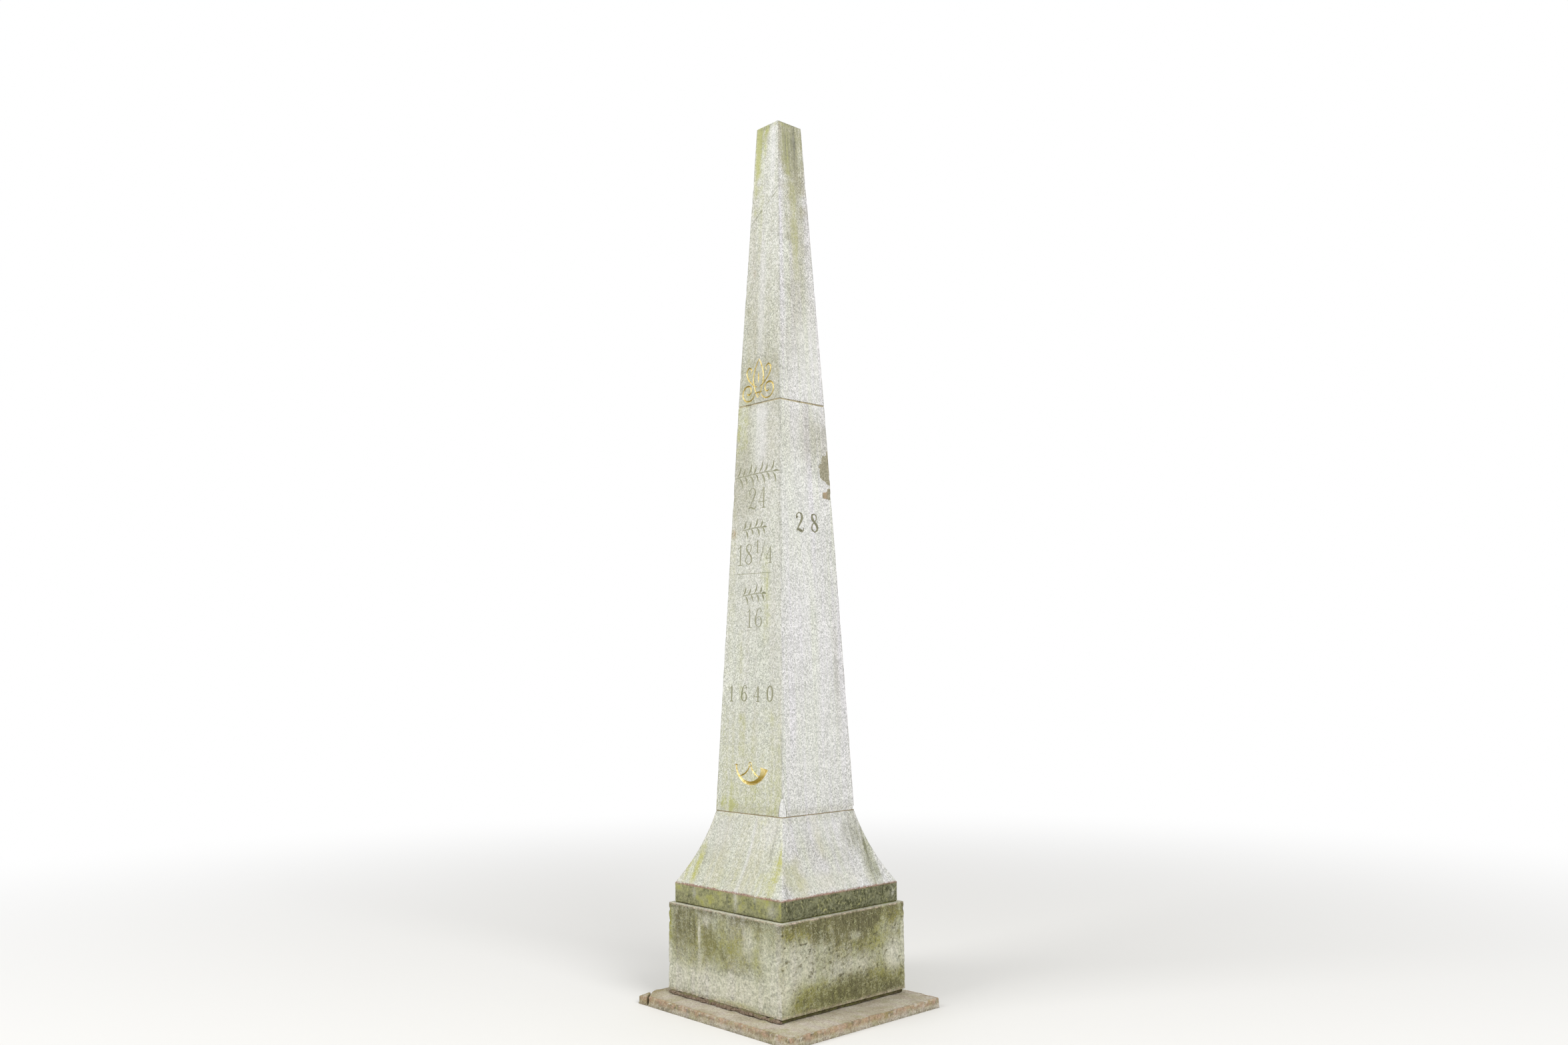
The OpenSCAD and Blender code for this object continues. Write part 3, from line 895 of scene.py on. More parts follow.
# %% Dirt on the plinth
PLINTH_MARKS = {
    "film": {
        "front": [(-270, 390, 260, 180, 0.7), (40, 370, 240, 160, 0.6), (300, 430, 220, 100, 0.5),
                  (0, 265, 480, 80, 0.4), (0, 70, 900, 16, 0.3)],
        "right": [(0, 470, 1200, 110, 0.95), (120, 380, 260, 110, 0.7), (-20, 290, 700, 170, 0.42),
                  (0, 110, 1200, 100, 0.8), (200, 180, 240, 90, 0.5)]},
    "crust": {
        "front": [(-310, 400, 130, 150, 0.42), (-90, 370, 90, 140, 0.34), (10, 295, 40, 42, 0.5),
                  (310, 472, 150, 40, 0.42), (-345, 400, 9, 95, 0.5), (-250, 420, 8, 85, 0.55),
                  (-215, 395, 7, 120, 0.45), (-40, 430, 9, 75, 0.5), (60, 425, 8, 90, 0.4),
                  (150, 440, 7, 60, 0.4)],
        "right": [(50, 470, 320, 90, 0.85), (140, 420, 110, 80, 0.5), (-320, 470, 140, 45, 0.4),
                  (-20, 380, 200, 60, 0.35), (-60, 115, 300, 70, 0.6), (60, 165, 150, 60, 0.45),
                  (220, 110, 220, 60, 0.45), (350, 88, 120, 45, 0.4), (-180, 420, 60, 70, 0.5),
                  (20, 400, 10, 90, 0.4), (190, 380, 9, 90, 0.4)]},
    "growth": {
        "front": [(-412, 390, 24, 105, 0.9), (90, 330, 120, 85, 0.4), (255, 310, 45, 115, 0.45),
                  (412, 240, 22, 95, 0.6), (180, 150, 210, 60, 0.3), (-230, 200, 170, 45, 0.3),
                  (-60, 330, 130, 130, 0.35), (120, 78, 180, 26, 0.7)],
        "right": [(215, 350, 85, 85, 0.5), (-60, 120, 130, 55, 0.5), (-250, 150, 140, 85, 0.4),
                  (280, 190, 75, 65, 0.4), (-412, 240, 22, 120, 0.5), (0, 110, 700, 80, 0.4)]},
    # The front wash at 385 across and the right one at -400 lie on the near arris, where they are wash and
    # painted highlight.
    "washed": {
        "front": [(-178, 370, 12, 85, 0.7), (-176, 250, 20, 45, 0.45), (-115, 430, 14, 40, 0.5),
                  (195, 380, 45, 85, 0.5), (320, 340, 42, 120, 0.4), (385, 200, 60, 130, 0.8),
                  (-412, 250, 20, 60, 0.7), (0, 140, 900, 75, 0.75)],
        "right": [(65, 378, 50, 30, 0.5), (30, 235, 190, 46, 0.45), (-330, 290, 120, 110, 0.5),
                  (-400, 180, 55, 115, 0.75), (335, 240, 75, 80, 0.8), (412, 300, 18, 140, 0.6)]},
}


def plinth_dirt(points):
    """Dark crust that hangs from the top edge, as far as noise lets it, and lies in the pits, more
    of it on the numbered side, which has small dark specks too."""
    hang = 45 + 40 * lumps(points * (1, 1, 0.2), 40, 16, 2)
    below = PLINTH_HIGH - points[:, 2]
    rim = 0.55 * (1 - smooth(below, hang * 0.2, hang * 1.4))
    in_pits = pits(points) * (0.08 + 0.6 * on_numbered(points))
    specks = 0.8 * patchy(points, (14, 14, 11), 19, 0.15, 0.5) * on_numbered(points)
    return np.maximum(rim, in_pits) + specks


def plinth_edges(points):
    """The top edge, rubbed bare and lighter as painted highlight, and the foot, stained by wet soil."""
    bare = 0.6 + 0.4 * lumps(points, 25, 17, 2)
    below = PLINTH_HIGH - points[:, 2]
    edge = smooth(below, 0, 3) * (1 - smooth(below, 4, 7))
    above = points[:, 2] - PLINTH_LOW + 8 * lumps(points, 30, 18, 2)
    return bare * edge + 0.45 * (1 - smooth(above, 4, 20))


def plinth_ledge(points):
    """The top of the ledge, made pale."""
    return 0.8 * smooth(points[:, 2], PLINTH_HIGH - 3, PLINTH_HIGH - 1)


weather(plinth, PLINTH_MARKS, {"crust": plinth_dirt, "rubbed": plinth_edges, "washed": plinth_ledge})
settle(plinth, "plinth_block", "plinth_granite", plinth_stone)

# %% [markdown]
# The footing slab is a thick flag of split granite, brown with soil, off centre under the plinth.
# Its front left corner has broken off and lies where it fell, a few millimetres away. Both pieces
# are rings round a polygon, so the break is just one more side. They are only ever worn inwards
# from the full size, so that nothing stands outside the construction.

# %% Footing slab and its broken corner
SLAB_EDGE = 9
SLAB_CORNER_ROUND = 7
SLAB_WORN = 7
BREAK_X, BREAK_Y = 78, 88
CRACK_HALF = 2.2
CRACK_SLANT = 1.4
CRACK_DEPTH = 40
CORNER_DROP, CORNER_SLUMP = 3, 7
SLAB_INSET = np.concatenate([np.linspace(0, 260, 24), [380, 520]])
CORNER_INSET = np.linspace(0, 16, 4)
SLAB_LOW, SLAB_HIGH = corners_of("footing_slab")
SLAB_TOP = SLAB_HIGH[2]


def flag_outline(corners, height):
    """A flag's corners at each height, from rows of x, y and which way the crack moves them. The
    crack opens upwards: its half width grows by a smooth step from its foot to the top."""
    corners = np.array(corners, float)
    gap = CRACK_HALF * CRACK_SLANT * smooth(height, SLAB_TOP - CRACK_DEPTH, SLAB_TOP)
    return corners[:, :2] + gap[:, None, None] * corners[:, 2:]


def flag_grid(corners, middle, side_steps, insets):
    """A ring grid for a flat stone: the outline at each height of its rim, then the same outline
    drawn in towards the middle, over the top and under the bottom. Its sides and its top are then
    worn inwards by hollows of three sizes, and its flat underside isn't."""
    quarter = np.linspace(0, pi / 2, 5)[1:]
    rim = np.concatenate([np.linspace(2, SLAB_TOP - SLAB_EDGE, 5),
                          SLAB_TOP - SLAB_EDGE + SLAB_EDGE * np.sin(quarter)])
    height = np.concatenate([[0, 0, 0], rim, np.full(len(insets) - 1, SLAB_TOP)])
    drawn = np.concatenate([[insets[-1], insets[3], 2], np.zeros(5), SLAB_EDGE * (1 - np.cos(quarter)),
                            SLAB_EDGE + insets[1:]])
    outline = flag_outline(corners, height)
    out = np.linalg.norm(outline - middle, axis=-1)
    kept = np.maximum(1 - drawn[:, None] / out.min(), POLE_SHARE)
    outline = middle + (outline - middle) * kept[..., None]
    ring = rings(outline, np.minimum(SLAB_CORNER_ROUND, out * 0.1) * kept, side_steps, 3)
    tall = np.broadcast_to(height[:, None, None], (*ring.shape[:2], 1))
    grid = np.concatenate([ring, tall], -1)
    hollow = 0.5 + 0.2 * lumps(grid, 70, 31) + 0.2 * lumps(grid, 26, 32) + 0.1 * lumps(grid, 13, 33)
    return grid - outward(grid) * (hollow * smooth(tall[..., 0], 0, 8) * SLAB_WORN)[..., None]


def make_slab():
    """The slab without its front left corner, so its outline has five corners."""
    (left, front, _), (right, back, _) = SLAB_LOW, SLAB_HIGH
    corners = [(left + BREAK_X, front, 1, 0), (right, front, 0, 0), (right, back, 0, 0),
               (left, back, 0, 0), (left, front + BREAK_Y, 0, 1)]
    middle = (SLAB_LOW[:2] + SLAB_HIGH[:2]) / 2
    return skin("footing", flag_grid(corners, middle, (95, 90, 95, 80, 14), SLAB_INSET))


def make_slab_corner():
    """The corner that came off, a little lower than the slab and lower still at its outer end."""
    left, front, _ = SLAB_LOW
    corners = [(left, front, 0, 0), (left + BREAK_X, front, -1, 0), (left, front + BREAK_Y, 0, -1)]
    middle = SLAB_LOW[:2] + np.array([BREAK_X, BREAK_Y]) * 0.3
    grid = flag_grid(corners, middle, (16, 16, 16), CORNER_INSET)
    away = 1 - (grid[..., :2] - SLAB_LOW[:2]).sum(-1) / (BREAK_X + BREAK_Y) * 2
    slump = CORNER_DROP + CORNER_SLUMP * np.clip(away, 0, 1)
    grid[..., 2] -= smooth(grid[..., 2], 15, SLAB_TOP) * slump
    return skin("footing_broken_corner", grid)


slab, slab_corner = make_slab(), make_slab_corner()
print("slab and its corner:", len(slab.data.polygons), len(slab_corner.data.polygons), "faces")

# %% [markdown]
# The dirt on the slab follows its form, so all of it is fields. Soil, spots of crust and painted
# shade darken the worn rim, where pinkish stone shows between them, thin growth and crust lie in
# patches on the top, and wet soil darkens the foot of the sides.

# %% Dirt on the slab


def flag_rim(points):
    """1 along the worn top edge of the flag, as far in as noise lets it, and 0 elsewhere."""
    inside = np.minimum(points[:, :2] - SLAB_LOW[:2], SLAB_HIGH[:2] - points[:, :2]).min(-1)
    return smooth(5 * lumps(points, 25, 47, 2) - inside, -20, -8) * smooth(points[:, 2], 12, 34)


def flag_film(points):
    """Soil in patches and over the flag's left end, and soil and painted shade on the rim."""
    left_end = smooth(-points[:, 0], 380, 460)
    return 0.06 + 0.3 * patchy(points, 90, 44, -0.3, 0.4) + 0.75 * flag_rim(points) + 0.5 * left_end


def flag_growth(points):
    """Thin growth in patches on the top."""
    return 0.4 * patchy(points, 70, 41, 0.05, 0.5, 3) * (1 - flag_rim(points))


def flag_crust(points):
    """Crust in patches on the top, crust and painted shade in spots on the rim, and crust low on the sides.
    """
    on_top = 0.25 * patchy(points, 110, 42, 0.0, 0.6) * (1 - flag_rim(points))
    on_rim = 1.1 * patchy(points, 16, 48, -0.1, 0.25) * flag_rim(points)
    return on_top + on_rim + 0.6 * (1 - smooth(points[:, 2] + 6 * lumps(points, 40, 46, 2), 0, 24))


def flag_washed(points):
    """Pale grains in spots, most of them on the rim."""
    on_rim = 0.9 * flag_rim(points) * patchy(points, 12, 49, 0.2, 0.4)
    return 0.25 * patchy(points, 40, 45, 0.1, 0.6, 1) + on_rim


def flag_rubbed(points):
    """Bare pinkish stone along the rim."""
    return 0.75 * flag_rim(points) * patchy(points, 22, 43, -0.5, 0.3)


FLAG_FIELDS = {"film": flag_film, "growth": flag_growth, "crust": flag_crust, "washed": flag_washed,
               "rubbed": flag_rubbed}
for piece, node in ((slab, "footing_slab"), (slab_corner, "footing_corner")):
    weather(piece, {}, FLAG_FIELDS)
    settle(piece, node, "footing_granite", slab_stone)

# %% [markdown]
# Between the stones lie thin beds of lime mortar. They stand back a little behind the faces, by
# an uneven amount where frost and rain have worked at them. On the inscribed side somebody threw
# a fillet of mortar against the plinth's foot: a quarter round, carried along the face, whose
# reach and rise wander.

# %% Mortar beds and fillet
BED_STEPS = 70
BED_ROUND = 8.0
FILLET_STEPS = 210
FILLET_ROUND = 12
FILLET_BURIED = 7


def make_bed(node, name, out, ragged, seed):
    """A bed between two stones: a square ring that stands out from the box of its node by a few
    millimetres, and in and out by noise."""
    (low, high), half = levels_of(node), half_of(node)
    height = np.concatenate([[low, low], np.linspace(low, high, 4), [high, high]])
    inner = half * np.array([POLE_SHARE, 0.5])
    width = np.concatenate([inner, np.full(4, half + out), inner[::-1]])
    grid = stone_grid(width, height, BED_STEPS, lambda p: np.full(p.shape[:2], BED_ROUND), 3)
    waver = lumps(grid, (35, 35, 12), seed, 2) * ragged * (width > half * 0.9)[:, None]
    side = np.concatenate([unit(grid[..., :2]), np.zeros((*grid.shape[:2], 1))], -1)
    return skin(name, grid + side * waver[..., None])


def make_fillet():
    """Each cross section is a quarter round from the slab up to the plinth's face, closed through
    the stone behind it. Its reach and rise are about half of the node's, more or less by noise."""
    low, high = corners_of("plinth_haunch")
    along = np.linspace(low[0], high[0], FILLET_STEPS)
    line = np.stack([along, np.zeros_like(along), np.zeros_like(along)], -1)
    ends = smooth(along, low[0], low[0] + 30) * (1 - smooth(along, high[0] - 30, high[0]))
    reach = (-PLINTH_HALF - low[1]) * (0.42 + 0.4 * lumps(line, 24, 51, 3)) * (0.4 + 0.6 * ends)
    rise = (high[2] - low[2]) * (0.62 + 0.36 * lumps(line, 36, 52, 3)) * (0.5 + 0.5 * ends)
    angle = np.linspace(0, pi / 2, FILLET_ROUND)
    bulge = 1 + 0.12 * np.sin(2 * angle)
    y = -PLINTH_HALF - reach[:, None] * (np.cos(angle) * bulge)[None]
    z = low[2] + rise[:, None] * (np.sin(angle) * bulge)[None]
    y = np.concatenate([y, np.full((FILLET_STEPS, 2), -PLINTH_HALF + FILLET_BURIED)], 1)
    z = np.concatenate([z, z[:, -1:], np.full((FILLET_STEPS, 1), low[2])], 1)
    y = np.maximum(y, low[1])
    x = np.broadcast_to(along[:, None], y.shape)
    grid = np.stack([x, y, z], -1)
    rough = (lumps(grid, 14, 54) * 2.2 + lumps(grid, 6, 53, 2) * 1.6) * (grid[..., 2] > low[2] + 1)
    grid[..., 1] = np.maximum(grid[..., 1] - rough * (y < -PLINTH_HALF), low[1])
    return skin("plinth_fillet", grid[:, ::-1])


def weather_bed(piece, green, seed):
    """Growth in patches along a joint, more of it on the numbered side, and painted shade in the same
    colour towards the top of the piece, under the upper stone."""
    points = points_of(piece)
    low, high = points[:, 2].min(), points[:, 2].max()
    # Towards the top of the piece the stored growth is painted shade: under the upper stone in a bed, and in
    # the fillet's crease against the plinth.
    damp_and_shade = 0.35 * on_numbered(points) + smooth(points[:, 2], low * 0.7 + high * 0.3, high)
    store(piece, "growth", green * smooth(lumps(points, 40, seed, 2) + damp_and_shade, 0.1, 0.7))


# Each bed: its piece, how far it stands out and how raggedly, in millimetres, its growth, its mortar.
beds = {"plinth_bed": ("bed_on_footing", 1, 5.0, 0.4, soiled_mortar_and_shade),
        "base_bed": ("bed_on_plinth", 2, 2.0, 0.8, soiled_mortar_and_shade),
        "lower_shaft_bed": ("bed_on_base", 3.4, 1.0, 0.6, bed_mortar),
        "upper_shaft_bed": ("bed_in_shaft", 2.9, 2.6, 0.95, ochre_mortar)}
for seed, (node, (name, out, ragged, green, finish)) in enumerate(beds.items(), 60):
    bed = make_bed(node, name, out, ragged, seed)
    weather_bed(bed, green, seed + 10)
    settle(bed, node, "bed_mortar", finish)
fillet = make_fillet()
weather_bed(fillet, 0.7, 80)
settle(fillet, "plinth_haunch", "bed_mortar", fillet_mortar)

# %% [markdown]
# The flared base is one stone: a plain band, a worn ledge and four hollow faces that meet on
# curved mitres. The profile is the band's wall, a small round and the true arc of the flare, and
# carrying it round the square makes the mitres by itself.

# %% Flared base
BASE_EDGE = 3
BASE_STEP = 6
BASE_ARRIS = partial(worn_radii, base=10, vary=3, chip=7, size=26, seed=21)
BASE_LAYERS = [(120, 0.8, 22), (26, 0.5, 23), (10, 0.5, 24)]


def base_profile():
    """Half width and height of each row, from the middle of the underside over the band, the
    ledge and the flare to the middle of the top."""
    band_half, band_height = wall_profile(upright(BAND_HALF), BASE_LOW, BAND_TOP, BASE_EDGE, BASE_STEP)
    outer = band_height < BAND_TOP - 0.01
    flare_rows = int((BASE_HIGH - BAND_TOP) / BASE_STEP)
    height = np.linspace(BAND_TOP + 1, BASE_HIGH - BASE_EDGE, flare_rows)
    quarter = np.linspace(0, pi / 2, 4)[1:]
    crown_half = FOOT_HALF - BASE_EDGE + BASE_EDGE * np.cos(quarter)
    crown_height = BASE_HIGH - BASE_EDGE + BASE_EDGE * np.sin(quarter)
    inner = np.array([FOOT_HALF - 20, FOOT_HALF * 0.4, FOOT_HALF * POLE_SHARE])
    half = np.concatenate([band_half[outer], flare_half(height), crown_half, inner])
    height = np.concatenate([band_height[outer], height, crown_height, np.full(3, BASE_HIGH)])
    return half, height


def make_base():
    """The profile carried round the square, with worn mitres and shallow lumps of three sizes."""
    half, height = base_profile()
    grid = stone_grid(half, height, 96, BASE_ARRIS)
    return skin("base", relief(grid, BASE_LAYERS, on_walls(grid, half, BASE_LOW, BASE_HIGH)))


base = make_base()
print("base:", len(base.data.polygons), "faces")

# %% [markdown]
# The band catches what runs off the flare, so film covers all of it, with crust in blotches, most
# on the numbered side. Growth is thickest on the band and beside the mitres of the inscribed side,
# and rain has washed pale runs between.

# %% Dirt on the base
BASE_MARKS = {
    "film": {
        "front": [(-60, 690, 500, 110, 0.2), (-190, 840, 80, 110, 0.15)],
        "right": [(262, 700, 60, 150, 0.5), (215, 860, 110, 110, 0.35), (-280, 670, 90, 90, 0.3),
                  (0, 935, 300, 22, 0.2), (-40, 740, 300, 170, 0.22)]},
    "crust": {
        "front": [(22, 548, 30, 46, 0.8), (280, 535, 46, 18, 0.6), (-390, 530, 40, 30, 0.4),
                  (-242, 700, 11, 130, 0.22), (235, 830, 22, 110, 0.25)],
        "right": [(262, 690, 18, 130, 0.55), (226, 715, 14, 60, 0.35), (300, 650, 16, 70, 0.35),
                  (200, 840, 110, 90, 0.24), (-345, 625, 34, 40, 0.3)]},
    "growth": {
        "front": [(-100, 545, 120, 55, 0.7), (240, 550, 130, 55, 0.7), (395, 545, 28, 60, 0.8),
                  (-268, 700, 34, 150, 0.7), (-320, 665, 50, 110, 0.85), (300, 720, 50, 190, 0.85),
                  (225, 640, 60, 80, 0.55), (-60, 640, 60, 90, 0.25), (30, 760, 30, 260, 0.25),
                  (110, 760, 26, 240, 0.25), (130, 925, 30, 40, 0.4), (-180, 938, 110, 20, 0.45),
                  (0, 640, 420, 80, 0.2)],
        "right": [(-60, 562, 150, 30, 0.5), (-300, 545, 120, 50, 0.5), (-270, 680, 90, 100, 0.3),
                  (-40, 830, 40, 110, 0.25), (-60, 640, 260, 60, 0.25)]},
    "washed": {
        "front": [(-245, 555, 22, 34, 0.6), (75, 552, 24, 60, 0.6), (335, 535, 46, 40, 0.5),
                  (72, 770, 15, 230, 0.45), (215, 612, 14, 65, 0.5), (190, 880, 60, 80, 0.3),
                  (-180, 850, 90, 110, 0.3), (385, 640, 34, 70, 0.3)],
        "right": [(-20, 660, 260, 90, 0.3), (368, 550, 40, 50, 0.62), (60, 860, 180, 90, 0.3)]},
}


def on_band(points):
    """1 on the plain band and 0 on the flare above it."""
    return 1 - smooth(points[:, 2], BAND_TOP - 4, BAND_TOP)


def band_edge(points):
    """The band's top edge, rubbed bare, so that the red stone shows."""
    off_edge = abs(points[:, 2] - BAND_TOP + 1)
    return (0.8 + 0.3 * lumps(points, 40, 27, 2)) * (1 - smooth(off_edge, 1, 4))


def base_growth(points):
    """Thin growth over the flare of the inscribed side and the one opposite, and patches of it all
    round the band."""
    patches = 0.65 * patchy(points, (55, 55, 30), 29, -0.15, 0.35, 3)
    return 0.27 * on_inscribed(points) * (1 - on_band(points)) + patches * on_band(points)


def band_film(points):
    """All of the band, more than once over, so that hardly any grain shows clean."""
    return on_band(points) * (1.8 + 0.6 * lumps(points, 60, 25, 2))


def band_crust(points):
    """Thin on the inscribed side and thick on the numbered one, in blotches."""
    level = 0.26 + 1.15 * on_numbered(points)
    blotches = 0.45 * lumps(points, (70, 70, 40), 26, 2) + 0.3 * lumps(points, (22, 22, 15), 28, 2)
    return on_band(points) * np.clip(level + blotches, 0, 2)


BASE_FIELDS = {"film": band_film, "growth": base_growth, "crust": band_crust, "rubbed": band_edge}
weather(base, BASE_MARKS, BASE_FIELDS, shorter=lambda points: 1 + 20 * on_band(points))
settle(base, "flared_base", "base_granite", base_stone)

# %% [markdown]
# The shaft is two tapered stones, dressed fine and flat. Only their arrises are ragged: a worn
# round of about seven millimetres, wider where frost has taken a flake. The upper stone ends in a
# low four-sided point.

# %% Shaft stones
SHAFT_EDGE = 1.8
SHAFT_STEP = 7
TIP_FLAT = 7
SHAFT_ARRIS = partial(worn_radii, base=7, vary=2, chip=6, size=26, seed=94)
SHAFT_LAYERS = [(160, 0.5, 91), (30, 0.3, 92), (11, 0.25, 93)]


def shaft_stone_grid(half, height, side_steps, low, high):
    """The profile carried round the square with ragged arrises, and all but flat faces."""
    grid = stone_grid(half, height, side_steps, SHAFT_ARRIS)
    return relief(grid, SHAFT_LAYERS, on_walls(grid, half, low, high))


def make_lower_stone():
    """The tapered profile between the base and the joint."""
    half, height = wall_profile(shaft_half, LOWER_LOW, LOWER_HIGH, SHAFT_EDGE, SHAFT_STEP)
    return skin("lower_shaft_stone", shaft_stone_grid(half, height, 44, LOWER_LOW, LOWER_HIGH))


def make_upper_stone():
    """The upper stone's profile with its top cap drawn up to a point: height rises evenly as the
    half width falls from the rim to the small worn flat."""
    half, height = wall_profile(shaft_half, UPPER_LOW, UPPER_HIGH, SHAFT_EDGE, SHAFT_STEP)
    over = height > UPPER_HIGH - SHAFT_EDGE
    rim = TIP_HALF - 1
    rise = (rim - np.maximum(half, TIP_FLAT)) / (rim - TIP_FLAT) * (TIP_RISE + SHAFT_EDGE)
    slope = np.maximum(UPPER_HIGH - SHAFT_EDGE + rise, height - SHAFT_EDGE)
    height = np.where(over, np.minimum(slope, UPPER_TOP), height)
    return skin("upper_shaft_stone", shaft_stone_grid(half, height, 34, UPPER_LOW, UPPER_HIGH))


lower_stone = make_lower_stone()
upper_stone = make_upper_stone()
print("shaft stones:", len(lower_stone.data.polygons), len(upper_stone.data.polygons), "faces")

# %% [markdown]
# Everything cut into the shaft is cut here too, with solid cutters taken off by a Boolean, so
# the light finds real edges. A letter cutter's chisel leaves a V: two walls at 45 degrees. Its
# path is a smooth curve through a few points, and its width changes on the way, as the cutter
# leans from a hairline into a full stroke.

# %% Chisel paths
PROUD = 2.0
FLAT_V_DEPTH = 13.0


def smooth_path(points, steps=7):
    """A Catmull-Rom curve: between two points it is a cubic whose slope at each point is half the
    step from the point before to the point after."""
    p = np.asarray(points, float)
    if len(p) == 2:
        return p[0] + (p[1] - p[0]) * np.linspace(0, 1, steps)[:, None]
    padded = np.concatenate([2 * p[:1] - p[1:2], p, 2 * p[-1:] - p[-2:-1]])
    a, b, c, d = (padded[i:len(p) - 1 + i, None] for i in range(4))
    t = np.linspace(0, 1, steps, endpoint=False)[None, :, None]
    curve = 0.5 * (2 * b + (c - a) * t + (2 * a - 5 * b + 4 * c - d) * t ** 2
                   + (3 * b - a - 3 * c + d) * t ** 3)
    return np.concatenate([curve.reshape(-1, p.shape[1]), p[-1:]])


def tapered(path, width):
    """An even width that comes down to a quarter at both ends of a path."""
    far = np.concatenate([[0], np.cumsum(np.hypot(*np.diff(path, axis=0).T))])
    ends = np.minimum(far, far[-1] - far) / width
    return width * (0.25 + 0.75 * smooth(ends, 0, 0.9))


def leaf_width(path, width):
    """Width of a chip-cut leaf: a half sine wave along its path."""
    return width * (0.08 + 0.92 * np.sin(np.linspace(0, pi, len(path))))


def v_section(width):
    """Across and into the stone, for each width: two points proud of the face and one at the
    bottom, half the width deep."""
    half = width / 2
    return (np.stack([-half - PROUD, half + PROUD, half * 0], -1),
            np.stack([half * 0 - PROUD, half * 0 - PROUD, half], -1))


def flat_v_section(width):
    """A V that is cut flatter where it is wide, so that it is never deeper than the stone allows."""
    across, deep = v_section(width)
    return across, np.minimum(deep, FLAT_V_DEPTH)


def on_front(across, up, deep):
    """A point on the inscribed face, so far across, up and into the stone."""
    return np.stack([across, -shaft_half(up) + deep, up], -1)


def on_right(across, up, deep):
    """The same on the numbered face."""
    return np.stack([shaft_half(up) - deep, across, up], -1)


def groove(path, widths, face, section=v_section):
    """A cutter: the section carried along the path, square to it, and closed at both ends."""
    tangent = unit(np.gradient(path, axis=0))
    across, deep = section(widths)
    u = path[:, None, 0] - tangent[:, None, 1] * across
    z = path[:, None, 1] + tangent[:, None, 0] * across
    return face(u, z, deep)


print("a V five wide:", [part.round(1).tolist() for part in v_section(np.array([5.0]))])

# %% [markdown]
# A Boolean takes one closed solid off another. Strokes that cross would make a cutter that runs
# through itself, so they are sorted into layers and each layer is a cut of its own. The solver is
# the one made for closed meshes, which is quick and leaves no stray faces.

# %% Cutting
CUT_SOLVER = "MANIFOLD"


def cutter_mesh(grids):
    """One mesh object from several cutters: quads along each, a flat face at each end, and all
    faces turned outwards."""
    points, faces, first = [], [], 0
    for grid in grids:
        rows, ring = grid.shape[:2]
        index = first + np.arange(rows * ring).reshape(rows, ring)
        after = np.roll(index, -1, 1)
        faces += np.stack([index[:-1], after[:-1], after[1:], index[1:]], -1).reshape(-1, 4).tolist()
        faces += [index[0, ::-1].tolist(), index[-1].tolist()]
        points.append(grid.reshape(-1, 3))
        first += rows * ring
    piece = make_mesh("cutter", np.concatenate(points), faces)
    shape = bmesh.new()
    shape.from_mesh(piece.data)
    bmesh.ops.recalc_face_normals(shape, faces=shape.faces)
    shape.to_mesh(piece.data)
    shape.free()
    return piece


def combine(piece, cutter, operation="DIFFERENCE"):
    """Cuts a piece by a cutter, for good, and removes the cutter."""
    cut = piece.modifiers.new("cut", "BOOLEAN")
    cut.operation, cut.solver, cut.object = operation, CUT_SOLVER, cutter
    graph = bpy.context.evaluated_depsgraph_get()
    mesh = bpy.data.meshes.new_from_object(piece.evaluated_get(graph))
    piece.modifiers.clear()
    piece.data = mesh
    bpy.data.objects.remove(cutter)
    mesh.set_sharp_from_angle(angle=radians(SMOOTH_DEG))


def carve(piece, strokes, material):
    """Takes strokes off a stone. Strokes that cross are in different layers, and each layer is
    one cut. The walls of the cuts get their own material."""
    if material.name not in piece.data.materials:
        piece.data.materials.append(material)
    number = piece.data.materials.find(material.name)
    layers = sorted({layer for layer, _ in strokes})
    for layer in layers:
        cutter = cutter_mesh([grid for at, grid in strokes if at == layer])
        for filling in piece.data.materials:
            cutter.data.materials.append(filling)
        walls = cutter.data.polygons
        walls.foreach_set("material_index", np.full(len(walls), number, np.int32))
        combine(piece, cutter)
    print(piece.name, "carved with", len(strokes), "strokes in", len(layers), "layers,", material.name)


print("solids are cut by the solver", CUT_SOLVER)

# %% [markdown]
# The inscribed side carries rows of plain numbers, in an old hand with thick and thin strokes.
# Each digit is a few strokes in a box one unit high, and every point of a stroke says how far
# across, how high and how wide the cut is there. A text object would be quicker, but it would
# cut a flat bottom between upright walls, where a chisel leaves a V.

# %% Numbers
# Each row: its digits, where they start, their foot and height, the pitch and the width of the cut.
FRONT_ROWS = [("24", -58, 2498, 110, 76, 10), ("18", -142, 2208, 108, 68, 10),
              ("1", 4, 2268, 64, 0, 7), ("/", 38, 2206, 124, 0, 7), ("4", 88, 2208, 84, 0, 9),
              ("16", -54, 1883, 96, 70, 9), ("1640", -174, 1508, 80, 98, 12)]
RIGHT_ROW = ("28", -82, 2374, 96, 106, 16)
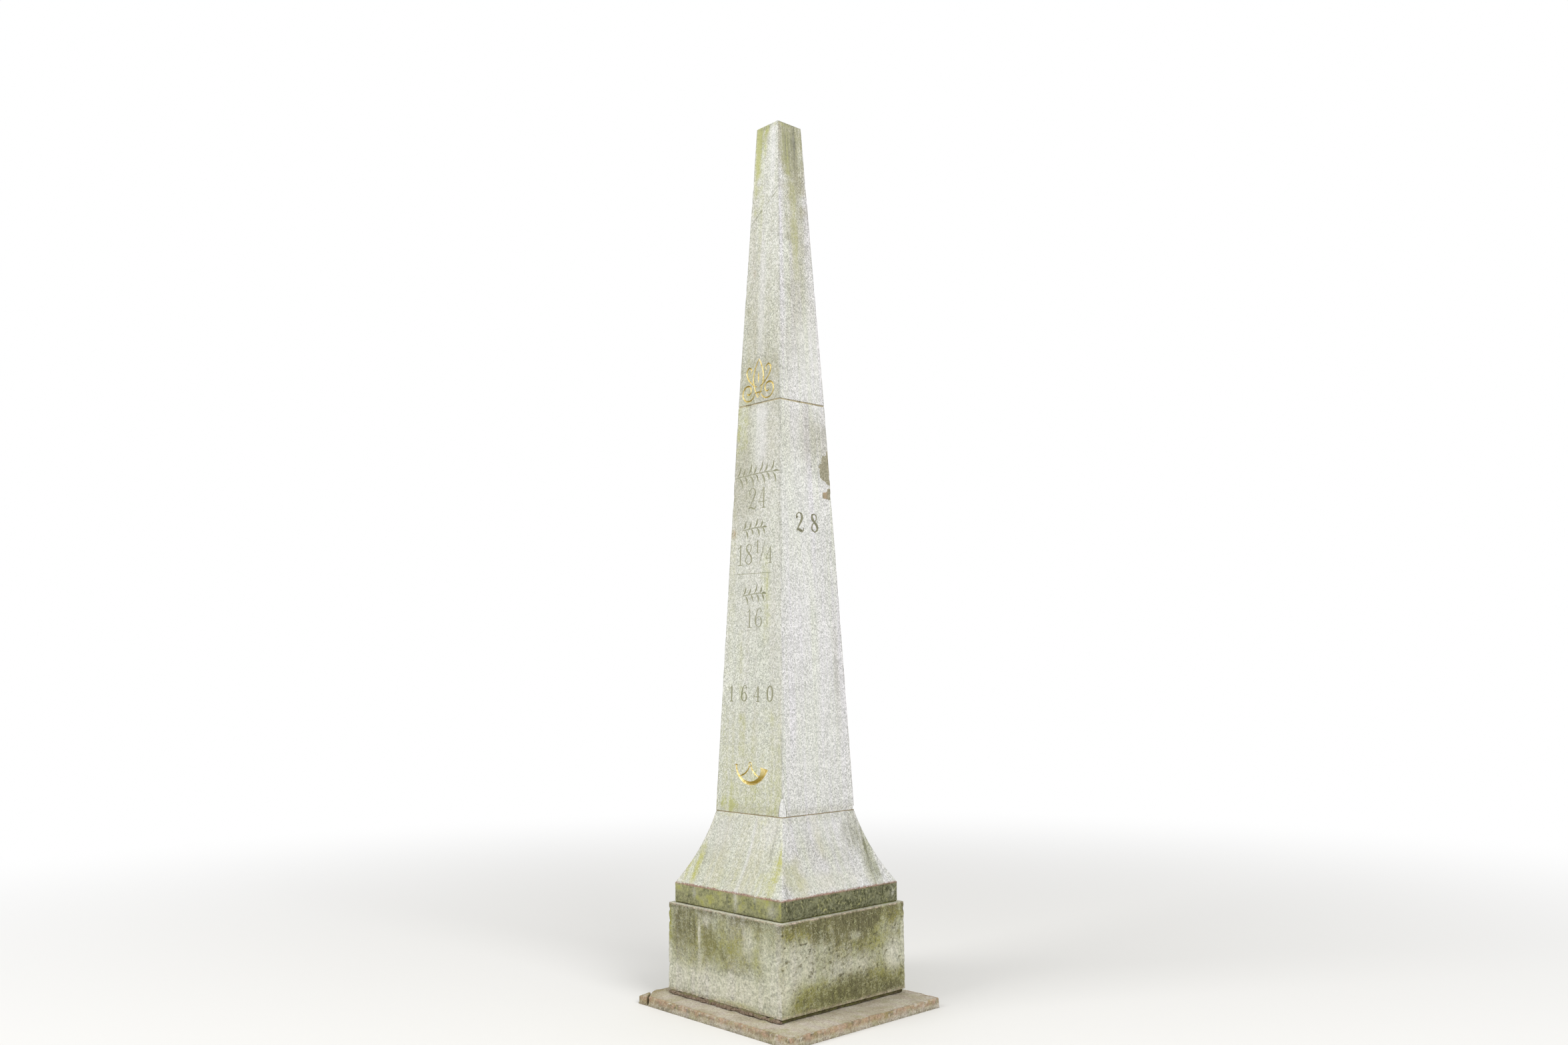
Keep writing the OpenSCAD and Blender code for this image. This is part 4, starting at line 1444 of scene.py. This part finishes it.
# The ruled line under a row: its two ends and the width of the cut.
RULE = ((-148, 2164), (136, 2158), 3)
DIGIT_STROKES = {
    "0": [[(.27, 1, .35), (.1, .86, .8), (.03, .5, 1), (.1, .14, .8), (.27, 0, .35)],
          [(.27, 1, .35), (.44, .86, .8), (.51, .5, 1), (.44, .14, .8), (.27, 0, .35)]],
    "1": [[(.29, 1, .8), (.29, .5, 1), (.29, 0, .8)],
          [(.29, .97, .6), (.19, .86, .45), (.07, .8, .3)],
          [(.1, .01, .25), (.29, .015, .5), (.48, .01, .25)]],
    "2": [[(.12, .71, 1.1), (.06, .8, .7), (.13, .94, .4), (.28, 1, .4), (.43, .91, .8), (.46, .74, 1),
           (.36, .52, .8), (.2, .28, .5), (.03, .04, .4)],
          [(.04, .02, .3), (.14, .09, .8), (.28, .05, 1), (.42, 0, .8), (.52, .09, .4), (.54, .2, .25)]],
    "4": [[(.38, 1, .5), (.2, .63, .4), (0, .3, .35)],
          [(0, .3, .35), (.28, .3, .4), (.56, .3, .3)],
          [(.38, 1, .5), (.38, .6, 1), (.38, 0, .8)],
          [(.22, .01, .25), (.38, .015, .5), (.54, .01, .25)]],
    "6": [[(.44, .83, 1.1), (.46, .93, .6), (.32, 1, .4), (.16, .86, .7), (.05, .5, 1), (.07, .18, .9),
           (.26, 0, .35)],
          [(.26, 0, .35), (.44, .1, .8), (.5, .31, 1), (.42, .51, .7), (.27, .57, .4), (.13, .47, .35),
           (.08, .34, .3)]],
    "8": [[(.27, 1, .35), (.12, .91, .8), (.12, .72, 1), (.27, .55, .9), (.43, .39, 1), (.46, .16, .8),
           (.27, 0, .35)],
          [(.27, 1, .35), (.41, .91, .5), (.42, .72, .45), (.27, .55, .35), (.1, .38, .5), (.07, .15, .6),
           (.27, 0, .35)]],
    "/": [[(0, 0, .3), (.17, .5, .6), (.34, 1, .3)]],
}


def digits(text, left, foot, tall, pitch, width, face):
    """Strokes of a row of digits, a pitch apart. The nth stroke of each digit is in layer n."""
    strokes = []
    for place, digit in enumerate(text):
        for layer, points in enumerate(DIGIT_STROKES[digit]):
            stroke = smooth_path(points, 9)
            path = stroke[:, :2] * tall + np.array([left + place * pitch, foot])
            strokes.append((layer, groove(path, np.clip(stroke[:, 2], 0.2, 1.2) * width, face)))
    return strokes


def straight(start, end, width, face):
    """One straight cut."""
    path = smooth_path([start, end], 12)
    return [(0, groove(path, tapered(path, width), face))]


number_strokes = [stroke for row in FRONT_ROWS for stroke in digits(*row, on_front)]
number_strokes += straight(*RULE, on_front)
print("strokes of the numbers on the inscribed side:", len(number_strokes))

# %% [markdown]
# Between the numbers lie branches of laurel, a common ornament that a chisel cuts leaf by leaf,
# each leaf a single chip. A leaf is the same V as the stroke of a number, only wide in its middle
# and pointed at both ends, so the same groove makes both. All that is cut on one side and has one
# finish comes off the stone together.

# %% Laurel
LAUREL_STEM = 4.5
LAUREL_LEAF = 12
LAUREL_BEND = ((0, 0.04), (0.3, 0.42), (0.44, 0.98))
LOWER_LEAF_LAG = 0.35
# Each branch: its left and right end, its foot, its height and its pairs of leaves.
BRANCHES = [(-162, 174, 2619, 132, 7), (-102, 92, 2349, 100, 4), (-90, 98, 2007, 100, 4)]


def laurel(left, right, foot, tall, pairs, face):
    """A branch: a thin stem that rises a little, a pair of pointed leaves at each step along it,
    the lower one about a third of a step on, and one leaf at the tip."""
    middle, reach = foot + tall * 0.47, tall / 2
    stem = smooth_path([(left, middle - 6), (left * 0.4 + right * 0.6, middle + 3),
                        (right - reach * 0.6, middle)], 14)
    tip = smooth_path([(right - reach * 0.8, middle), (right - reach * 0.4, middle + 3), (right, middle - 2)])
    strokes = [(0, groove(stem, tapered(stem, LAUREL_STEM), face)),
               (3, groove(tip, leaf_width(tip, LAUREL_LEAF), face))]
    for step, x in enumerate(np.linspace(left + 8, right - reach * 1.05, pairs)):
        for layer, side, ahead in ((1, 1, 0), (2, -1, (right - left) / pairs * LOWER_LEAF_LAG)):
            root = np.array([x + ahead, np.interp(x + ahead, stem[:, 0], stem[:, 1])])
            size = reach * (0.86 + 0.14 * (-1) ** step)
            leaf = smooth_path([root + size * np.array(bend) * (1, side) for bend in LAUREL_BEND])
            strokes.append((layer, groove(leaf, leaf_width(leaf, LAUREL_LEAF), face)))
    return strokes


laurel_strokes = [stroke for branch in BRANCHES for stroke in laurel(*branch, on_front)]
lower_stone.data.materials.append(shaft_stone)
carve(lower_stone, laurel_strokes + number_strokes, cut_dirt_and_shade)
carve(lower_stone, digits(*RIGHT_ROW, on_right), cut_paint)

# %% [markdown]
# Two ornaments are gilded. The upper one is a plain scroll ornament, two volutes beside a pointed
# loop, cut as deep Vs. The lower one is a plain hunting horn on its strap, a crescent whose V
# widens and flattens into the bell. Above the scroll a vein crosses the stone, and weather has
# opened it into a shallow, crooked furrow.

# %% Gilded scroll and horn
SCROLL_MIDDLE = (-6, 3084)
SCROLL_CUT = 10
HORN_MIDDLE = (8, 1192)
HORN_HALF, HORN_DROP = 106, 90
VEIN = ((-98, 4071), (92, 4203))


def spiral(middle, start_r, end_r, start_deg, end_deg, steps=44):
    """A spiral: the radius falls evenly while the angle turns evenly."""
    angle = np.radians(np.linspace(start_deg, end_deg, steps))
    radius = np.linspace(start_r, end_r, steps)
    return np.array(middle) + radius[:, None] * np.stack([np.cos(angle), np.sin(angle)], -1)


def scroll_strokes():
    """Each pair is one path and its mirror image: the pointed loop, the leaf and the volute."""
    strokes = []
    loop = smooth_path([(0, 4), (27, 56), (40, 112), (26, 168), (0, 219)])
    leaf = smooth_path([(8, 62), (44, 82), (80, 116), (94, 154), (76, 177), (56, 162), (62, 144)])
    volute = spiral((78, 46), 58, 8, -160, 330)
    for layer, path in enumerate((loop, leaf, volute)):
        for mirror in (1, -1):
            placed = path * (mirror, 1) + np.array(SCROLL_MIDDLE)
            widths = tapered(placed, SCROLL_CUT) * (0.6 + 0.4 * np.sin(pi * np.linspace(0, 1, len(placed))))
            strokes.append((2 * layer + (mirror < 0), groove(placed, widths, on_front)))
    bud = smooth_path([(0, 84), (0, 150)]) + np.array(SCROLL_MIDDLE)
    band = smooth_path([(-30, 34), (30, 34)]) + np.array(SCROLL_MIDDLE)
    return strokes + [(6, groove(bud, leaf_width(bud, 11), on_front)),
                      (7, groove(band, tapered(band, 8), on_front))]


def horn_strokes():
    """The crescent's width grows evenly from the mouthpiece and then fast into the bell. The two
    ends of the strap run from the crescent to a small ring."""
    t = np.linspace(0, 1, 56)
    angle = np.radians(184 + 168 * t)
    body = np.array(HORN_MIDDLE) + np.stack([HORN_HALF * np.cos(angle), HORN_DROP * np.sin(angle)], -1)
    widths = 9 + 18 * t + 40 * t ** 9
    mouth = smooth_path([body[0] + (-11, 3), body[0] + (11, 3)])
    strokes = [(0, groove(body, widths, on_front, flat_v_section)),
               (1, groove(mouth, tapered(mouth, 11), on_front))]
    for layer, side in ((2, -1), (3, 1)):
        end = smooth_path([(side * 72, -56), (side * 40, -44), (side * 14, -20), (side * 5, -2)])
        strokes.append((layer, groove(end + np.array(HORN_MIDDLE), tapered(end, 8), on_front)))
    ring = spiral(np.array(HORN_MIDDLE) + (0, 3), 10, 10, -80, 270, 24)
    return strokes + [(4, groove(ring, np.full(len(ring), 5.0), on_front))]


def vein_stroke():
    """A straight line across the face, shifted up and down by noise, whose width varies too."""
    line = smooth_path(VEIN, 90)
    spot = np.concatenate([line, np.zeros((len(line), 1))], -1)
    line[:, 1] += 9 * lumps(spot, 44, 111, 3)
    widths = np.clip(2.6 + 4 * lumps(spot, 17, 112, 2), 0.5, 6)
    return [(0, groove(line, np.minimum(widths, tapered(line, 12)), on_front))]


upper_stone.data.materials.append(shaft_stone)
carve(upper_stone, scroll_strokes(), gilding)
carve(upper_stone, vein_stroke(), cut_dirt_and_shade)
carve(lower_stone, horn_strokes(), gilding)

# %% [markdown]
# Three repairs are let into the lower stone. A pointed plug of fresh stone stands on the near
# arris at its foot, in a pocket that is wider by an open joint. Two ragged patches of mortar sit at
# the far arris, and rust has stained the lower one. Each repair is a copy of the stone, kept only
# where it meets a solid, so that its surface runs on from the stone's without a step. A chip is
# missing at the foot of that arris, and is simply cut away.

# %% Plug, patches and chip
PLUG_TALL = 89
PLUG_REACH = 25
PLUG_JOINT = 3.6
PATCH_DEPTH = 14
PATCH_OUTSIDE = 20
UPPER_PATCH = [(-20, 0), (30, 0), (34, 20), (56, 24), (73, 40), (70, 62), (75, 98), (58, 112), (43, 150),
               (15, 158), (11, 190), (-20, 190)]
LOWER_PATCH = [(-20, 0), (60, 2), (66, 34), (32, 38), (24, 62), (-20, 62)]


def plug_cutter(reach):
    """A round with a blunt point: at each height a circle round the arris, whose radius is the
    reach times 1 less the square of the height's share, to the power of 0.6."""
    share = np.sin(np.linspace(0, pi / 2, 30))
    up = np.concatenate([[-12], PLUG_TALL * share])
    radius = np.concatenate([[reach], np.maximum(reach * np.maximum(1 - share ** 2, 0) ** 0.6, 0.05)])
    angle = np.linspace(0, 2 * pi, 64, endpoint=False)
    height = LOWER_LOW + up
    centre = shaft_half(height)
    x = centre[:, None] + radius[:, None] * np.cos(angle)
    y = -centre[:, None] + radius[:, None] * np.sin(angle)
    return np.stack([x, y, np.broadcast_to(height[:, None], x.shape)], -1)


def patch_cutter(outline, foot, seed):
    """A slice with a ragged outline: points every few millimetres along the outline, shifted by
    noise where they lie on the face, and carried from behind the face to outside it."""
    corners = np.array(outline, float)
    following = np.roll(corners, -1, 0)
    t = np.linspace(0, 1, 9, endpoint=False)[:, None]
    edge = (corners[:, None] + (following - corners)[:, None] * t).reshape(-1, 2)
    spot = np.concatenate([edge, np.zeros((len(edge), 1))], -1)
    shift = np.stack([lumps(spot, 16, seed, 2), lumps(spot, 16, seed + 1, 2)], -1) * 8
    edge = edge + shift * (edge[:, :1] > -15)
    up = foot + edge[:, 1]
    across = shaft_half(up) - edge[:, 0]
    return np.stack([on_right(across, up, deep) for deep in (PATCH_DEPTH, -PATCH_OUTSIDE)])


def take_out(stone, name, cut, keep):
    """Cuts a pocket out of a stone, and returns the part of the stone that fills it."""
    part = bpy.data.objects.new(name, stone.data.copy())
    bpy.context.scene.collection.objects.link(part)
    combine(part, cutter_mesh([keep]), "INTERSECT")
    combine(stone, cutter_mesh([cut]))
    part.data.materials.clear()
    return part


def chip_cutter():
    """A lumpy ball on the far arris of the foot."""
    around = np.linspace(0, 2 * pi, 40, endpoint=False)
    down = np.linspace(0.05, pi - 0.05, 20)[:, None]
    ball = np.stack([np.sin(down) * np.cos(around), np.sin(down) * np.sin(around),
                     np.cos(down) * np.ones_like(around)], -1)
    ball = ball * (18 + 3 * lumps(ball * 20, 9, 99, 2))[..., None]
    return ball * (1, 1, 1.25) + np.array([FOOT_HALF + 3, FOOT_HALF + 3, LOWER_LOW + 4])


plug_pocket, plug_shape = plug_cutter(PLUG_REACH + PLUG_JOINT), plug_cutter(PLUG_REACH)
plug = take_out(lower_stone, "arris_plug_stone", plug_pocket, plug_shape)
upper_shape = patch_cutter(UPPER_PATCH, levels_of("edge_patch_upper")[0], 101)
upper_patch = take_out(lower_stone, "upper_arris_patch", upper_shape, upper_shape)
lower_shape = patch_cutter(LOWER_PATCH, levels_of("edge_patch_lower")[0], 103)
lower_patch = take_out(lower_stone, "lower_arris_patch", lower_shape, lower_shape)
combine(lower_stone, cutter_mesh([chip_cutter()]))
print("repairs:", [(part.name, len(part.data.polygons)) for part in (plug, upper_patch, lower_patch)])

# %% [markdown]
# The shaft's own marks: faint growth down the middle and the left of the inscribed side, an olive
# run and a dark one at the top of the numbered side, and painted shade along the arrises.

# %% Marks on the shaft
SHAFT_MARKS = {
    "film": {
        "front": [(-30, 4560, 60, 60, 0.5), (-70, 3800, 70, 700, 0.2), (-20, 3380, 260, 380, 0.34),
                  (-110, 2650, 150, 300, 0.45), (0, 2900, 260, 230, 0.2), (0, 3170, 220, 170, 0.6),
                  (0, 970, 500, 30, 0.35)],
        "right": [(0, 4600, 200, 150, 0.95), (0, 4450, 110, 280, 0.98), (10, 4180, 90, 330, 0.55),
                  (10, 3750, 110, 460, 0.45), (30, 2900, 60, 230, 0.35), (120, 2850, 70, 200, 0.35),
                  (-60, 2880, 220, 220, 0.25), (0, 3400, 240, 300, 0.24), (165, 1650, 26, 330, 0.3),
                  (0, 968, 500, 22, 0.3)]},
    "growth": {
        "front": [(0, 4596, 110, 24, 0.9), (-50, 4480, 36, 150, 0.9), (-30, 4540, 45, 150, 0.9),
                  (-30, 4150, 28, 420, 0.5), (-75, 4380, 34, 330, 0.5), (-20, 3200, 120, 150, 0.35),
                  (-100, 3450, 60, 560, 0.3), (-120, 2970, 60, 220, 0.65), (-30, 2860, 26, 260, 0.25),
                  (90, 2190, 50, 150, 0.5), (100, 1930, 48, 240, 0.5), (150, 1430, 75, 90, 0.5),
                  (-90, 1700, 40, 260, 0.4), (-65, 1330, 45, 260, 0.5), (-165, 990, 110, 70, 0.85),
                  (55, 1090, 34, 180, 0.75), (-215, 1200, 60, 330, 0.5), (-175, 2000, 60, 900, 0.35)],
        "right": [(-30, 4450, 42, 210, 0.85), (20, 4500, 90, 160, 0.65), (0, 4050, 40, 430, 0.45),
                  (0, 4600, 120, 22, 0.7)]},
    "crust": {
        "front": [(-10, 4595, 90, 16, 0.35), (-35, 4480, 14, 110, 0.25), (-62, 4096, 16, 13, 0.3),
                  (-22, 4123, 16, 13, 0.35), (24, 4157, 17, 13, 0.3), (64, 4184, 14, 12, 0.3)],
        "right": [(-8, 4490, 66, 190, 0.5), (24, 4520, 9, 150, 0.7), (4, 4470, 7, 110, 0.45),
                  (-45, 4500, 12, 110, 0.3), (0, 4603, 200, 10, 0.45), (25, 4200, 24, 330, 0.16),
                  (77, 3758, 9, 12, 0.6), (-65, 3670, 8, 30, 0.4), (105, 2930, 40, 34, 0.2),
                  (25, 2900, 26, 190, 0.14), (150, 2860, 22, 70, 0.2), (165, 1650, 14, 200, 0.18)]},
    "washed": {
        "front": [(50, 4420, 26, 260, 0.7), (20, 2850, 60, 190, 0.55), (20, 3015, 90, 60, 0.5),
                  (0, 3600, 30, 500, 0.4)],
        "right": [(60, 3300, 120, 320, 0.5), (-60, 2500, 140, 700, 0.25), (0, 1500, 280, 600, 0.3)]},
    "rubbed": {
        "front": [(-170, 2380, 22, 28, 0.5), (-60, 3780, 14, 24, 0.3)]},
}


def damp_side(points):
    """Thin, even growth over the inscribed side and the one opposite, more of it near the foot."""
    return on_inscribed(points) * (0.52 - 0.3 * smooth(points[:, 2], 950, 1700))


def arris_painted_shade(points):
    """Painted shade along the worn arrises, here more and there less."""
    off = abs(abs(points[:, 0]) - abs(points[:, 1]))
    return (0.3 + 0.25 * lumps(points, (30, 30, 160), 95, 2)) * (1 - smooth(off, 3, 13))


def rust(points):
    """A rusty stain, none at the arris and full a few centimetres from it."""
    return smooth(shaft_half(points[:, 2]) - points[:, 1], 12, 44)


# The crust stored on the arrises is painted shade, a darker band along each worn arris.
for piece in (lower_stone, upper_stone):
    weather(piece, SHAFT_MARKS, {"growth": damp_side, "crust": arris_painted_shade})
weather(plug, {}, {"washed": lambda points: np.full(len(points), 0.8)})
store(upper_patch, "growth", np.zeros(len(upper_patch.data.vertices)))
store(lower_patch, "growth", rust(points_of(lower_patch)))
settle(lower_stone, "lower_shaft", "shaft_granite")
settle(upper_stone, "upper_shaft", "shaft_granite")
settle(plug, "arris_plug", "shaft_granite", shaft_stone)
settle(upper_patch, "edge_patch_upper", "patch_mortar", patch_mortar)
settle(lower_patch, "edge_patch_lower", "patch_mortar", patch_mortar)
